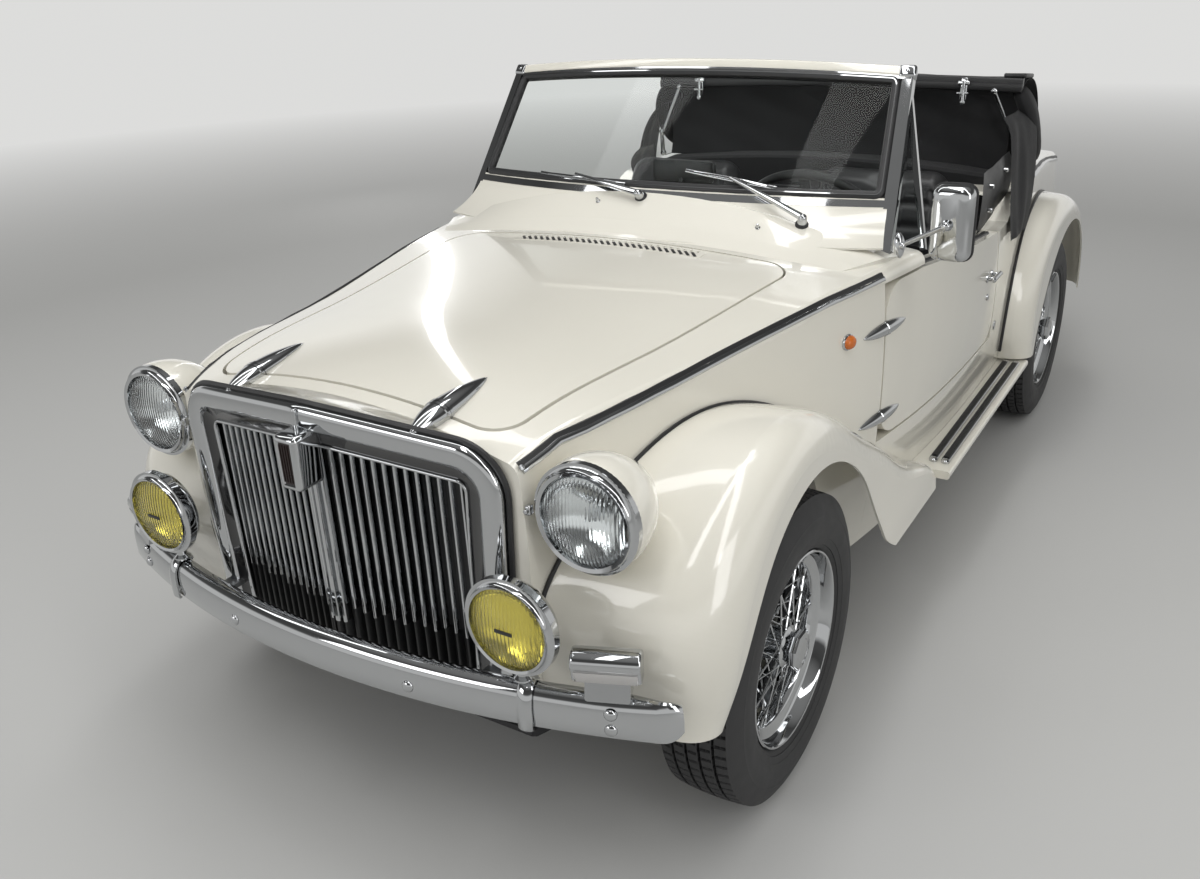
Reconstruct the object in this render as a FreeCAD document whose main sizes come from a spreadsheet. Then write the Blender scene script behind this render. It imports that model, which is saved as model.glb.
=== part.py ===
# Two-seat roadster convertible with separate fenders, running boards, a V grille and wire wheels.
# Millimetres. +Z is up, the front of the car looks along -Y and the driver sits on the +X side.
# The origin is on the ground, midway between the bumpers and on the centre plane.
import FreeCAD, Part
import math
import os
import re
from collections import namedtuple
from FreeCAD import Placement, Rotation, Vector
import Sketcher

doc = FreeCAD.newDocument("roadster")
sheet = doc.addObject("Spreadsheet::Sheet", "Sizes")

# Driving dimensions: name, value, what it is.
SIZES = [
    ("wheelbase", 2027, "front axle to rear axle"),
    ("rear_axle_y", 858.5, "rear axle behind the origin"),
    ("front_track", 1146, "between the centre planes of the front tyres"),
    ("rear_track", 1212, "between the centre planes of the rear tyres"),
    ("tyre_radius", 287, "outer radius of the tyre"),
    ("tyre_width", 156, "over the side walls"),
    ("rim_radius", 182, "outer edge of the rim flange"),
    ("rim_width", 135, "over the rim flanges"),
    ("bead_radius", 165, "seat of the tyre bead"),
    ("rim_wall", 5, "thickness of the rim"),
    ("hub_radius", 33, "hub shell where the spokes end"),
    ("spindle_radius", 17, "stub axle in the hub"),
    ("running_fit", 0.05, "radial clearance of a turning fit"),
    ("spoke_radius", 2.4, "wire spoke"),
    ("spoke_sets", 8, "groups of four spokes round a wheel"),
    ("cap_radius", 36, "knock-off cap over its corners"),
    ("panel_gap", 6, "open line round doors and lids"),
    ("seat_gap", 0.3, "clearance between pieces that sit on each other"),
    ("side_wall", 55, "body side and door thickness"),
    ("top_wall", 22, "hood, deck and lid thickness"),
    ("end_wall", 24, "nose and tail panel thickness"),
    ("shoulder_radius", 26, "edge between body side and deck"),
    ("nose_y", -1580, "front plane of the body behind the grille"),
    ("tail_y", 1650, "rear plane of the body"),
    ("scuttle_front_y", -692, "front edge of the scuttle"),
    ("scuttle_rear_y", -425, "rear edge of the scuttle"),
    ("door_front_y", -600, "front shut line of the doors"),
    ("door_rear_y", 190, "rear shut line of the doors"),
    ("door_bottom_z", 460, "lower shut line of the doors"),
    ("door_corner", 70, "radius of the lower door corners"),
    ("door_front_top_z", 800, "door edge at the quarter window"),
    ("door_rear_top_z", 742, "door edge at the rear shut line"),
    ("deck_front_y", 520, "front edge of the rear deck"),
    ("scuttle_z", 945, "top of the scuttle at the windscreen"),
    ("floor_z", 205, "underside of the floor"),
    ("floor_sheet", 18, "thickness of floor and bulkheads"),
    ("floor_rear_y", 640, "rear edge of the floor pan"),
    ("front_arch_x", 332, "inner wall of the front wheel arches"),
    ("rear_arch_x", 480, "inner wall of the rear wheel arches"),
    ("arch_radius", 366, "wheel arch in the body about the axle"),
    ("arch_sheet", 8, "wheel arch liner"),
    ("fender_sheet", 5, "fender skin"),
    ("board_z", 318, "top of the running boards"),
    ("board_sheet", 20, "running board thickness"),
    ("board_outer_x", 700, "outer edge of the running boards"),
    ("board_front_y", -400, "front end of the running boards"),
    ("board_rear_y", 440, "rear end of the running boards"),
    ("hood_front_y", -1546, "front edge of the hood lid"),
    ("hood_rear_y", -700, "rear edge of the hood lid"),
    ("hood_front_half", 316, "half width of the hood lid at the front"),
    ("hood_rear_half", 430, "half width of the hood lid at the rear"),
    ("lid_front_y", 1010, "front edge of the engine lid"),
    ("lid_rear_y", 1560, "rear edge of the engine lid"),
    ("lid_half", 350, "half width of the engine lid"),
    ("grille_ridge_y", -1646, "ridge of the V grille"),
    ("grille_corner_y", -1594, "outer edge of the V grille"),
    ("grille_half", 345, "half width over the grille shell at its shoulders"),
    ("grille_foot_half", 331, "half width over the grille shell at its foot"),
    ("grille_top_z", 822, "top of the grille shell at the centre"),
    ("grille_side_top_z", 795, "top of the grille shell at the corners"),
    ("grille_bottom_z", 346, "foot of the grille shell"),
    ("grille_corner", 84, "corner radius of the grille shell"),
    ("grille_rail", 58, "width of the shell face"),
    ("grille_bars_a_side", 13, "thin bars each side of the centre bar"),
    ("grille_bar", 4.5, "width of a thin bar"),
    ("centre_bar", 36, "width of the centre bar"),
    ("headlamp_x", 471, "headlamp centre from the middle"),
    ("headlamp_y", -1583, "front edge of the headlamp ring"),
    ("headlamp_z", 700, "headlamp centre above ground"),
    ("headlamp_radius", 88, "outer radius of the headlamp ring"),
    ("headlamp_length", 150, "depth of the headlamp pod"),
    ("fog_x", 390, "fog lamp centre from the middle"),
    ("fog_y", -1674, "front edge of the fog lamp ring"),
    ("fog_z", 549, "fog lamp centre above ground"),
    ("fog_radius", 80, "outer radius of the fog lamp ring"),
    ("fog_length", 62, "depth of the fog lamp"),
    ("bumper_y", -1705, "front face of the front bumper at the middle"),
    ("bumper_bottom_z", 375, "lower edge of the bumper blade"),
    ("bumper_top_z", 440, "upper edge of the bumper blade"),
    ("bumper_sheet", 5, "bumper blade thickness"),
    ("bumper_end_x", 628, "end of the bumper blade"),
    ("bumper_bow", 1750, "radius of the blade in plan"),
    ("bumper_bend", 80, "radius of the blade at its ends in plan"),
    ("bumper_depth", 36, "blade front to rear over its rolled top"),
    ("rear_bumper_y", 1705, "rear face of the rear bumper at the middle"),
    ("overrider_x", 402, "overrider centre from the middle"),
    ("overrider_width", 26, "width of an overrider"),
    ("overrider_height", 84, "height of an overrider"),
    ("screen_base_x", 552, "windscreen half width at the foot"),
    ("screen_top_x", 520, "windscreen half width at the header"),
    ("screen_top_z", 1187, "windscreen corner above ground"),
    ("header_z", 1209, "header centre above ground"),
    ("header_y", -324, "header centre"),
    ("pillar_width", 30, "windscreen frame width"),
    ("glass_sheet", 5, "glass thickness"),
    ("wheel_x", 300, "steering wheel centre from the middle"),
    ("wheel_y", -262, "steering wheel centre"),
    ("wheel_z", 800, "steering wheel centre above ground"),
    ("wheel_grip_radius", 184, "steering wheel to the middle of its rim"),
    ("wheel_grip", 11, "radius of the steering wheel rim"),
    ("column_tilt", 27, "degrees of the column above level"),
    ("kingpin_x", 500, "steering axis from the middle"),
    ("kingpin_radius", 15, "steering pin"),
    ("seat_x", 305, "seat centre from the middle"),
    ("seat_width", 450, "seat over its side rolls"),
    ("seat_top_z", 890, "top of the backrest"),
    ("cloth_top_z", 1085, "top of the folded soft top"),
    ("cloth_front_y", 590, "front rail of the folded soft top"),
    ("cloth_half", 570, "half width of the folded soft top"),
    ("tow_hole_radius", 14, "hole of the towing eyes"),
    ("tow_eye_sheet", 14, "thickness of the towing eyes"),
]
FIRST_ROW = 2
for row, (alias, value, note) in enumerate(SIZES, start=FIRST_ROW):
    sheet.set(f"A{row}", note)
    sheet.set(f"B{row}", str(value))
    sheet.setAlias(f"B{row}", alias)
doc.recompute()


def mm(alias):
    """Value of a named cell."""
    return float(getattr(sheet, alias))


def cells(text):
    """Expression text in which each named size points at its cell."""
    names = {alias for alias, _, _ in SIZES}
    return re.sub(r"[a-z_]+", lambda word: f"Sizes.{word[0]}" if word[0] in names else word[0], text)


def bind(item, **sizes):
    """Ties properties of an object to expressions of the named sizes."""
    for name, text in sizes.items():
        item.setExpression(name, cells(str(text)))
    return item


def worked_out(text):
    """Number that an expression of the named sizes gives."""
    return float(sheet.evalExpression(cells(str(text))))


FRONT_AXLE_Y = mm("rear_axle_y") - mm("wheelbase")
REAR_AXLE_Y = mm("rear_axle_y")
GAP = mm("panel_gap")
SEAT = mm("seat_gap")
WIDE = 1600.0

# Nodes that go to files: label and the document object that carries the shape.
nodes = {}


def node(label, item):
    """Names a document object as one of the pieces that are written."""
    item.Label = label
    nodes[label] = item
    return item


def shaped(label, shape, place=None):
    """Piece whose shape is worked out in code; its placement comes after its shape."""
    item = doc.addObject("Part::Feature", label)
    item.Shape = shape
    if place is not None:
        item.Placement = place
    return node(label, item)


def mirrored(shape):
    """The same shape on the other side of the car."""
    return shape.mirror(Vector(0, 0, 0), Vector(1, 0, 0))


def pair(shape):
    """Left and right copies as one compound of two solids."""
    return Part.makeCompound([shape, mirrored(shape)])


def box(low, high):
    """Block between two corners."""
    return Part.makeBox(high[0] - low[0], high[1] - low[1], high[2] - low[2], Vector(*low))


def rod(start, end, radius):
    """Round bar from one point to another."""
    line = Vector(*end) - Vector(*start)
    return Part.makeCylinder(radius, line.Length, Vector(*start), line)


def bar(start, end, across, depth, side=(1, 0, 0)):
    """Flat bar from one point to another, 'across' wide along its side direction."""
    a, b = Vector(*start), Vector(*end)
    along = (b - a).normalize()
    wide = (Vector(*side) - along * Vector(*side).dot(along)).normalize()
    deep = along.cross(wide)
    corners = []
    for u, v in ((-0.5, -0.5), (0.5, -0.5), (0.5, 0.5), (-0.5, 0.5)):
        corners.append(a + wide * (u * across) + deep * (v * depth))
    return Part.Face(Part.makePolygon(corners + corners[:1])).extrude(b - a)


def across_prism(outline, half_width=WIDE):
    """Prism along X of an outline given as (y, z) points."""
    points = [Vector(-half_width, y, z) for y, z in outline]
    return Part.Face(Part.makePolygon(points + points[:1])).extrude(Vector(2 * half_width, 0, 0))


def upright_prism(outline, low_z, high_z):
    """Prism along Z of an outline given as (x, y) points."""
    points = [Vector(x, y, low_z) for x, y in outline]
    return Part.Face(Part.makePolygon(points + points[:1])).extrude(Vector(0, 0, high_z - low_z))


def rounded(shape, radius, test):
    """Fillets the edges for which test is true."""
    edges = [edge for edge in shape.Edges if test(edge)]
    return shape.makeFillet(radius, edges)


def edge_along(axis):
    """Test for straight edges along one of the axes X, Y or Z."""
    def test(edge):
        if edge.Curve.TypeId != "Part::GeomLine":
            return False
        return abs(abs(getattr(edge.tangentAt(edge.FirstParameter), axis)) - 1) < 1e-6
    return test


def fused(*shapes):
    """One clean solid from shapes that meet."""
    return shapes[0].multiFuse(list(shapes[1:])).removeSplitter()


def largest(shape):
    """The largest solid of a result; offcuts are dropped."""
    return max(shape.Solids, key=lambda solid: solid.Volume)


def turned(label, outline):
    """Body turned about X. Each corner is (x, radius) as expressions, with an optional third
    value: the radius of the arc to the next corner, positive when it bulges to the right of the way."""
    body = doc.addObject("PartDesign::Body", label)
    sketch = body.newObject("Sketcher::SketchObject", label + "_outline")
    flat = [item for item in body.Origin.OriginFeatures if item.Role == "XY_Plane"][0]
    sketch.AttachmentSupport = [(flat, "")]
    sketch.MapMode = "FlatFace"
    corners = [Vector(worked_out(c[0]), worked_out(c[1]), 0) for c in outline]
    count = len(corners)
    ends = []
    for index, corner in enumerate(outline):
        here, there = corners[index], corners[(index + 1) % count]
        if len(corner) < 3:
            sketch.addGeometry(Part.LineSegment(here, there))
            ends.append((1, 2))
            continue
        radius = worked_out(corner[2])
        chord = there - here
        right = Vector(chord.y, -chord.x, 0).normalize()
        rise = abs(radius) - math.sqrt(radius ** 2 - (chord.Length / 2) ** 2)
        middle = (here + there) * 0.5 + right * (rise if radius > 0 else -rise)
        arc = Part.Arc(here, middle, there)
        sketch.addGeometry(arc)
        made = sketch.Geometry[index]
        ends.append((1, 2) if made.StartPoint.distanceToPoint(here) < 1e-6 else (2, 1))
        radius_cell = cells(str(corner[2]) if radius > 0 else f"-({corner[2]})")
        sketch.addConstraint(Sketcher.Constraint("Radius", index, abs(radius)))
        sketch.setExpression(f"Constraints[{sketch.ConstraintCount - 1}]", radius_cell)
    for index in range(count):
        after = (index + 1) % count
        sketch.addConstraint(Sketcher.Constraint("Coincident", index, ends[index][1], after, ends[after][0]))
    for index, corner in enumerate(outline):
        end = ends[index][0]
        for kind, text, axis in (("DistanceX", corner[0], -2), ("DistanceY", corner[1], -1)):
            number = worked_out(text)
            if abs(number) < 1e-9:
                sketch.addConstraint(Sketcher.Constraint("PointOnObject", index, end, axis))
                continue
            if number > 0:
                rule = Sketcher.Constraint(kind, -1, 1, index, end, number)
            else:
                rule = Sketcher.Constraint(kind, index, end, -1, 1, -number)
                text = f"-({text})"
            sketch.addConstraint(rule)
            sketch.setExpression(f"Constraints[{sketch.ConstraintCount - 1}]", cells(str(text)))
    turn = body.newObject("PartDesign::Revolution", label + "_turned")
    turn.Profile = (sketch, [""])
    turn.ReferenceAxis = (sketch, ["H_Axis"])
    turn.Angle = 360
    body.Tip = turn
    doc.recompute()
    return body


# Body shell.
# Stations of the outer skin, front to rear. along: y. side: half width at mid height.
# belt: half width under the shoulder. belt_z: height of the shoulder. crown_z: height on the
# centre plane. low: half width at the lower edge. low_z: height of the lower edge.
Station = namedtuple("Station", "along side belt belt_z crown_z low low_z")
BODY = [
    Station(mm("nose_y"), 370, 366, 768, 816, 340, 300),
    Station(-1500, 392, 388, 789, 831, 362, 262),
    Station(-1200, 462, 454, 802, 846, 430, 215),
    Station(-800, 550, 542, 826, 864, 520, mm("floor_z")),
    Station(-450, 611, 608, 835, 876, 580, mm("floor_z")),
    Station(200, 636, 626, 806, 850, 604, mm("floor_z")),
    Station(780, 616, 608, 813, 850, 590, mm("floor_z")),
    Station(1200, 574, 566, 774, 806, 548, 240),
    Station(1560, 528, 520, 728, 752, 500, 300),
    Station(mm("tail_y"), 496, 486, 690, 712, 470, 340),
]


def body_section(station, side_in=0.0, top_in=0.0, drop=0.0, shoulder=None):
    """Closed wire across the car: floor line, bowed sides, round shoulders and crowned top."""
    bend = mm("shoulder_radius") if shoulder is None else shoulder
    lean = math.radians(78)
    low, side, belt = station.low - side_in, station.side - side_in, station.belt - side_in
    bottom, crown = station.low_z - drop, station.crown_z - top_in
    shoulder_z = station.belt_z - top_in
    foot_z = shoulder_z - bend * math.sin(lean)

    def point(x, z):
        return Vector(x, station.along, z)

    def half_chain(sign):
        centre_x = belt - bend
        half_lean = lean / 2
        middle = point(sign * (centre_x + bend * math.cos(half_lean)), foot_z + bend * math.sin(half_lean))
        end = point(sign * (centre_x + bend * math.cos(lean)), shoulder_z)
        flank = Part.Arc(point(sign * low, bottom), point(sign * side, (bottom + foot_z) / 2),
                         point(sign * belt, foot_z))
        return flank, Part.Arc(point(sign * belt, foot_z), middle, end), end

    right_flank, right_bend, right_end = half_chain(1)
    left_flank, left_bend, left_end = half_chain(-1)
    floor = Part.LineSegment(point(-low, bottom), point(low, bottom))
    crown_arc = Part.Arc(right_end, point(0, crown), left_end)
    chain = [floor.toShape(), right_flank.toShape(), right_bend.toShape(), crown_arc.toShape(),
             left_bend.toShape(), left_flank.toShape()]
    return Part.Wire(chain)


def body_loft(side_in=0.0, top_in=0.0, drop=0.0, shoulder=None, end_in=0.0):
    """Skin through the stations, drawn in by the given amounts."""
    stations = list(BODY)
    stations[0] = stations[0]._replace(along=stations[0].along + end_in)
    stations[-1] = stations[-1]._replace(along=stations[-1].along - end_in)
    return Part.makeLoft([body_section(s, side_in, top_in, drop, shoulder) for s in stations], True, False)


outer_skin = body_loft()
inner_hollow = body_loft(mm("side_wall"), mm("top_wall"), 60, 8, mm("end_wall"))
# The same skin a seat gap larger: fenders and boards are cut back to it.
seat_skin = body_loft(-SEAT, -SEAT, SEAT, mm("shoulder_radius") + SEAT, -SEAT)


def arch(inner_x, axle_y, grow=0.0):
    """Wheel arch: two drums about the axle, from the inner wall out past the skin."""
    start = inner_x - grow
    radius = mm("arch_radius") + grow
    drum = Part.makeCylinder(radius, WIDE, Vector(start, axle_y, mm("tyre_radius")), Vector(1, 0, 0))
    return Part.makeCompound([drum, mirrored(drum)])


front_arches = arch(mm("front_arch_x"), FRONT_AXLE_Y)
rear_arches = arch(mm("rear_arch_x"), REAR_AXLE_Y)
front_liners = arch(mm("front_arch_x"), FRONT_AXLE_Y, mm("arch_sheet"))
rear_liners = arch(mm("rear_arch_x"), REAR_AXLE_Y, mm("arch_sheet"))
hollow = inner_hollow.cut([front_liners, rear_liners])
shell = outer_skin.cut([front_arches, rear_arches]).cut(hollow)

# Cockpit edge, side view: everything above this line between scuttle and deck is open.
cockpit_rim = [
    (mm("scuttle_rear_y"), mm("door_front_top_z")),
    (mm("door_rear_y"), mm("door_rear_top_z")),
    (mm("door_rear_y") + 110, mm("door_rear_top_z") + 4),
    (mm("door_rear_y") + 220, 800),
    (mm("deck_front_y"), 803),
    (mm("deck_front_y"), 1200),
    (mm("scuttle_rear_y"), 1200),
]
shell = shell.cut(across_prism(cockpit_rim))


def door_prism(grow):
    """Side view of the door as a prism along X, with round lower corners and a swept front top."""
    front, rear = mm("door_front_y") - grow, mm("door_rear_y") + grow
    bottom = mm("door_bottom_z") - grow
    top = mm("door_front_top_z") + grow
    bend = mm("door_corner") + grow
    roof = 1100
    step_y = mm("scuttle_rear_y") + grow

    def point(y, z):
        return Vector(0, y, z)

    def arc(a, centre, b):
        middle = Vector(*centre) + ((a + b) * 0.5 - Vector(*centre)).normalize() * bend
        return Part.Arc(a, middle, b).toShape()

    def line(a, b):
        return Part.LineSegment(a, b).toShape()

    a1, a2 = point(front + bend, bottom), point(rear - bend, bottom)
    a3, a4 = point(rear, bottom + bend), point(rear, roof)
    a5, a6 = point(step_y, roof), point(step_y, top)
    a7, a8 = point(front + bend, top), point(front, top - bend)
    a9 = point(front, bottom + bend)
    chain = [line(a1, a2), arc(a2, (0, rear - bend, bottom + bend), a3), line(a3, a4), line(a4, a5),
             line(a5, a6), line(a6, a7), arc(a7, (0, front + bend, top - bend), a8), line(a8, a9),
             arc(a9, (0, front + bend, bottom + bend), a1)]
    return Part.Face(Part.Wire(chain)).extrude(Vector(WIDE, 0, 0))


door_left = largest(shell.common(door_prism(0)))
door_hole = door_prism(GAP)


def lid_prism(front_y, rear_y, front_half, rear_half, bend, grow):
    """Plan of a lid as a prism along Z, with rounded corners."""
    outline = [(-front_half - grow, front_y - grow), (front_half + grow, front_y - grow),
               (rear_half + grow, rear_y + grow), (-rear_half - grow, rear_y + grow)]
    prism = upright_prism(outline, 640, 1000)
    return rounded(prism, bend + grow, edge_along("z"))


def hood_prism(grow):
    return lid_prism(mm("hood_front_y"), mm("hood_rear_y"), mm("hood_front_half"), mm("hood_rear_half"), 60, grow)


def engine_lid_prism(grow):
    return lid_prism(mm("lid_front_y"), mm("lid_rear_y"), mm("lid_half"), mm("lid_half") - 30, 50, grow)


top_skin = outer_skin.cut(inner_hollow)
hood = largest(top_skin.common(hood_prism(0)))
engine_lid = largest(top_skin.common(engine_lid_prism(0)))


def vent_slots(shape, along_y, rows, pitch, count, slot, floor_z):
    """Rows of narrow slots through a lid."""
    cutters = []
    for line in range(rows):
        for index in range(count):
            x = (index - (count - 1) / 2) * pitch
            y = along_y + line * (slot[1] + 14)
            cutters.append(box((x - slot[0] / 2, y, floor_z), (x + slot[0] / 2, y + slot[1], floor_z + 300)))
    return shape.cut(cutters)


HOOD_SLOTS = 28
hood = vent_slots(hood, mm("hood_rear_y") - 34, 1, 16, HOOD_SLOTS, (7, 24), 700)
engine_lid = vent_slots(engine_lid, mm("lid_front_y") + 130, 6, 210, 3, (170, 12), 640)
shaped("hood_lid", hood)
shaped("engine_lid", engine_lid)

# Scuttle: the raised panel under the windscreen. half: half width, side_z and crown_z: heights.
Arch = namedtuple("Arch", "along half side_z crown_z")
SCUTTLE = [
    Arch(mm("scuttle_front_y") + 10, 500, 836, 866),
    Arch(mm("scuttle_front_y") + 60, 530, 842, 896),
    Arch(-560, 566, 846, mm("scuttle_z")),
    Arch(mm("scuttle_rear_y"), 592, 826, mm("scuttle_z") - 12),
]


def arch_section(row, drop, base_z):
    """Closed wire: flat foot, short sides and a crowned top."""
    def point(x, z):
        return Vector(x, row.along, z)

    left, right = point(-row.half + drop, row.side_z - drop), point(row.half - drop, row.side_z - drop)
    low_left, low_right = point(-row.half + drop, base_z), point(row.half - drop, base_z)
    crown = Part.Arc(right, point(0, row.crown_z - drop), left)
    return Part.Wire([Part.LineSegment(low_left, low_right).toShape(), Part.LineSegment(low_right, right).toShape(),
                      crown.toShape(), Part.LineSegment(left, low_left).toShape()])


scuttle = Part.makeLoft([arch_section(row, 0, 790) for row in SCUTTLE], True, True)
scuttle_hollow = Part.makeLoft([arch_section(row, mm("top_wall") * 0.7, 700) for row in SCUTTLE], True, True)
scuttle_hollow = scuttle_hollow.common(box((-WIDE, mm("scuttle_front_y") + 30, 0), (WIDE, mm("scuttle_rear_y"), 2000)))

front_zone = box((-WIDE, -2000, 0), (WIDE, mm("scuttle_rear_y"), 2000))
rear_zone = box((-WIDE, mm("door_rear_y") + GAP, 0), (WIDE, 2000, 2000))
sill_top_z = mm("door_bottom_z") - GAP
both_door_holes = [door_hole, mirrored(door_hole)]

front_shell = outer_skin.common(front_zone).fuse(scuttle)
front_body = front_shell.cut([hollow, scuttle_hollow]).cut([front_arches, hood_prism(GAP)] + both_door_holes)
door_side = box((-WIDE, mm("door_front_y") - GAP, 0), (WIDE, 0, mm("door_front_top_z") + GAP))
front_body = largest(front_body.cut(door_side))
rear_body = shell.common(rear_zone).cut(engine_lid_prism(GAP))
rear_body = rear_body.cut(box((-WIDE, -2000, 0), (WIDE, mm("door_rear_y") + GAP, 2000)))
liner_in, liner_out = mm("rear_arch_x") - mm("arch_sheet") - 2, mm("rear_arch_x") + 2
shaft_passage = box((liner_in, REAR_AXLE_Y - 150, mm("tyre_radius") - 96),
                    (liner_out, REAR_AXLE_Y + 40, mm("tyre_radius") + 36))
rear_body = largest(rear_body.cut([shaft_passage, mirrored(shaft_passage)]))
sill_zone = box((0, mm("door_front_y") - GAP + SEAT, 0), (WIDE, mm("door_rear_y") + GAP - SEAT, sill_top_z))
sill = largest(shell.common(sill_zone).cut(door_hole))
shaped("front_body", front_body)
shaped("rear_body", rear_body)
shaped("sills", pair(sill))
shaped("door_left", door_left)
shaped("door_right", mirrored(door_left))

# Floor and bulkheads inside the shell.
floor_low = mm("floor_z") + 2
floor_high = floor_low + mm("floor_sheet")
clear_core = body_loft(mm("side_wall") + SEAT, mm("top_wall") + SEAT, 60, 8, mm("end_wall") + SEAT)
clear_core = clear_core.cut([arch(mm("front_arch_x"), FRONT_AXLE_Y, mm("arch_sheet") + SEAT),
                             arch(mm("rear_arch_x"), REAR_AXLE_Y, mm("arch_sheet") + SEAT)])
floor = clear_core.common(box((-WIDE, mm("nose_y") + 60, floor_low), (WIDE, mm("floor_rear_y"), floor_high)))
bulkhead_y, toe_y = 470.0, -760.0
toe_board = clear_core.common(box((-WIDE, toe_y, floor_high + SEAT), (WIDE, toe_y + mm("floor_sheet"), 800)))
tunnel = rounded(box((-70, toe_y + mm("floor_sheet") + SEAT, floor_low), (70, bulkhead_y - SEAT, 330)), 30,
                 lambda edge: edge_along("y")(edge) and edge.BoundBox.ZMin > 300)
seat_bulkhead = clear_core.common(box((-WIDE, bulkhead_y, floor_high + SEAT),
                                      (WIDE, bulkhead_y + mm("floor_sheet"), 770)))
parcel_shelf = clear_core.common(box((-WIDE, bulkhead_y, 560), (WIDE, 760, 560 + mm("floor_sheet"))))
floor_pan = fused(floor, tunnel)
shaped("toe_board", largest(toe_board))
shaped("seat_bulkhead", largest(fused(seat_bulkhead, parcel_shelf)))

# Towing eye under the front of the floor: a rounded tab with a hole across the car.
TOW_EYE_Y = mm("nose_y") + 110
TOW_EYE_Z = 188
tow_plate = rounded(box((-mm("tow_eye_sheet") / 2, TOW_EYE_Y - 27, TOW_EYE_Z - 27),
                        (mm("tow_eye_sheet") / 2, TOW_EYE_Y + 40, floor_low)), 22,
                    lambda edge: edge_along("x")(edge) and edge.BoundBox.ZMax < TOW_EYE_Z)
tow_hole = Part.makeCylinder(mm("tow_hole_radius"), 100, Vector(-50, TOW_EYE_Y, TOW_EYE_Z), Vector(1, 0, 0))
floor_pan = fused(floor_pan, tow_plate).cut(tow_hole)
shaped("floor_pan", floor_pan)


# Fenders: skins lofted through radial sections about the wheel axle.
# angle: degrees up from the rearward level line. inner_x, inner_r: start inside the body side.
# crown_x, crown_r: crown of the section. slope: degrees that it falls outward there.
# lip_r, lip_x: edge of the wheel opening.
FenderCut = namedtuple("FenderCut", "angle inner_x inner_r crown_x crown_r slope lip_r lip_x")
FRONT_FENDER = [
    FenderCut(173, 340, 395, 590, 372, 8, 310, 640),
    FenderCut(162, 356, 418, 583, 400, 8, 313, 654),
    FenderCut(150, 366, 463, 575, 445, 8, 318, 664),
    FenderCut(122, 398, 452, 592, 458, 3, 337, 666),
    FenderCut(92, 440, 433, 600, 447, 0, 350, 663),
    FenderCut(64, 488, 416, 602, 421, 0, 345, 661),
    FenderCut(42, 512, 422, 604, 435, 0, 346, 661),
    FenderCut(24, 538, 491, 607, 505, 0, 352, 664),
    FenderCut(11, 558, 600, 614, 611, 0, 372, 671),
    FenderCut(3.2, 570, 744, 640, 754, 0, 405, 677),
    FenderCut(0, 570, 765, 644, 768, 0, 440, 679),
]
REAR_FENDER = [
    FenderCut(175, 590, 468, 658, 455, 20, 372, 703),
    FenderCut(158, 590, 543, 658, 515, 26, 362, 704),
    FenderCut(143, 590, 564, 660, 530, 28, 354, 705),
    FenderCut(128, 588, 532, 660, 506, 22, 352, 706),
    FenderCut(108, 580, 474, 660, 458, 14, 351, 707),
    FenderCut(80, 565, 428, 658, 423, 6, 351, 708),
    FenderCut(52, 550, 412, 656, 413, 4, 351, 708),
    FenderCut(28, 530, 408, 654, 411, 4, 350, 706),
    FenderCut(8, 510, 406, 652, 409, 4, 348, 704),
]


def fender_wire(cut, axle_y):
    """Closed radial section: crown arc, round shoulder and upright flank to the lip, and the same
    inside by the thickness of the skin."""
    angle, slope = math.radians(cut.angle), math.radians(cut.slope)

    def point(x, radius):
        return Vector(x, axle_y + radius * math.cos(angle), mm("tyre_radius") + radius * math.sin(angle))

    inward = (-math.sin(slope), -math.cos(slope))
    reach_x, reach_r = cut.inner_x - cut.crown_x, cut.inner_r - cut.crown_r
    crown_radius = (reach_x ** 2 + reach_r ** 2) / (2 * (reach_x * inward[0] + reach_r * inward[1]))
    crown_centre = (cut.crown_x + crown_radius * inward[0], cut.crown_r + crown_radius * inward[1])
    shoulder = (cut.lip_x - cut.crown_x) / (1 - math.sin(slope))
    shoulder_centre = (cut.lip_x - shoulder, cut.crown_r - shoulder * math.cos(slope))
    crown_way = math.pi / 2 - slope
    inner_way = math.atan2(cut.inner_r - crown_centre[1], cut.inner_x - crown_centre[0])

    def chain(inset):
        def on(centre, radius, way):
            return point(centre[0] + radius * math.cos(way), centre[1] + radius * math.sin(way))

        ways = (inner_way, (inner_way + crown_way) / 2, crown_way)
        inner, middle, crown = [on(crown_centre, crown_radius - inset, way) for way in ways]
        bend, flank = [on(shoulder_centre, shoulder - inset, way) for way in (crown_way / 2, 0)]
        return inner, middle, crown, bend, flank, point(cut.lip_x - inset, cut.lip_r)

    inner_1, middle_1, crown_1, bend_1, flank_1, lip_1 = chain(0)
    inner_2, middle_2, crown_2, bend_2, flank_2, lip_2 = chain(mm("fender_sheet"))
    edges = [Part.Arc(inner_1, middle_1, crown_1), Part.Arc(crown_1, bend_1, flank_1),
             Part.LineSegment(flank_1, lip_1), Part.LineSegment(lip_1, lip_2),
             Part.LineSegment(lip_2, flank_2), Part.Arc(flank_2, bend_2, crown_2),
             Part.Arc(crown_2, middle_2, inner_2), Part.LineSegment(inner_2, inner_1)]
    return Part.Wire([edge.toShape() for edge in edges])


def fender(cuts, axle_y):
    """Fender skin on the left side, cut back to the body side and behind the grille."""
    skin = Part.makeLoft([fender_wire(cut, axle_y) for cut in cuts], True, False)
    grille_side = box((0, -2000, 0), (mm("grille_half") + GAP, mm("nose_y"), 1000))
    return largest(skin.cut([seat_skin, grille_side]))


front_fender = fender(FRONT_FENDER, FRONT_AXLE_Y)
rear_fender = fender(REAR_FENDER, REAR_AXLE_Y)
for side, flip in (("left", False), ("right", True)):
    shaped(f"fender_front_{side}", mirrored(front_fender) if flip else front_fender)
    shaped(f"fender_rear_{side}", mirrored(rear_fender) if flip else rear_fender)

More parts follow.
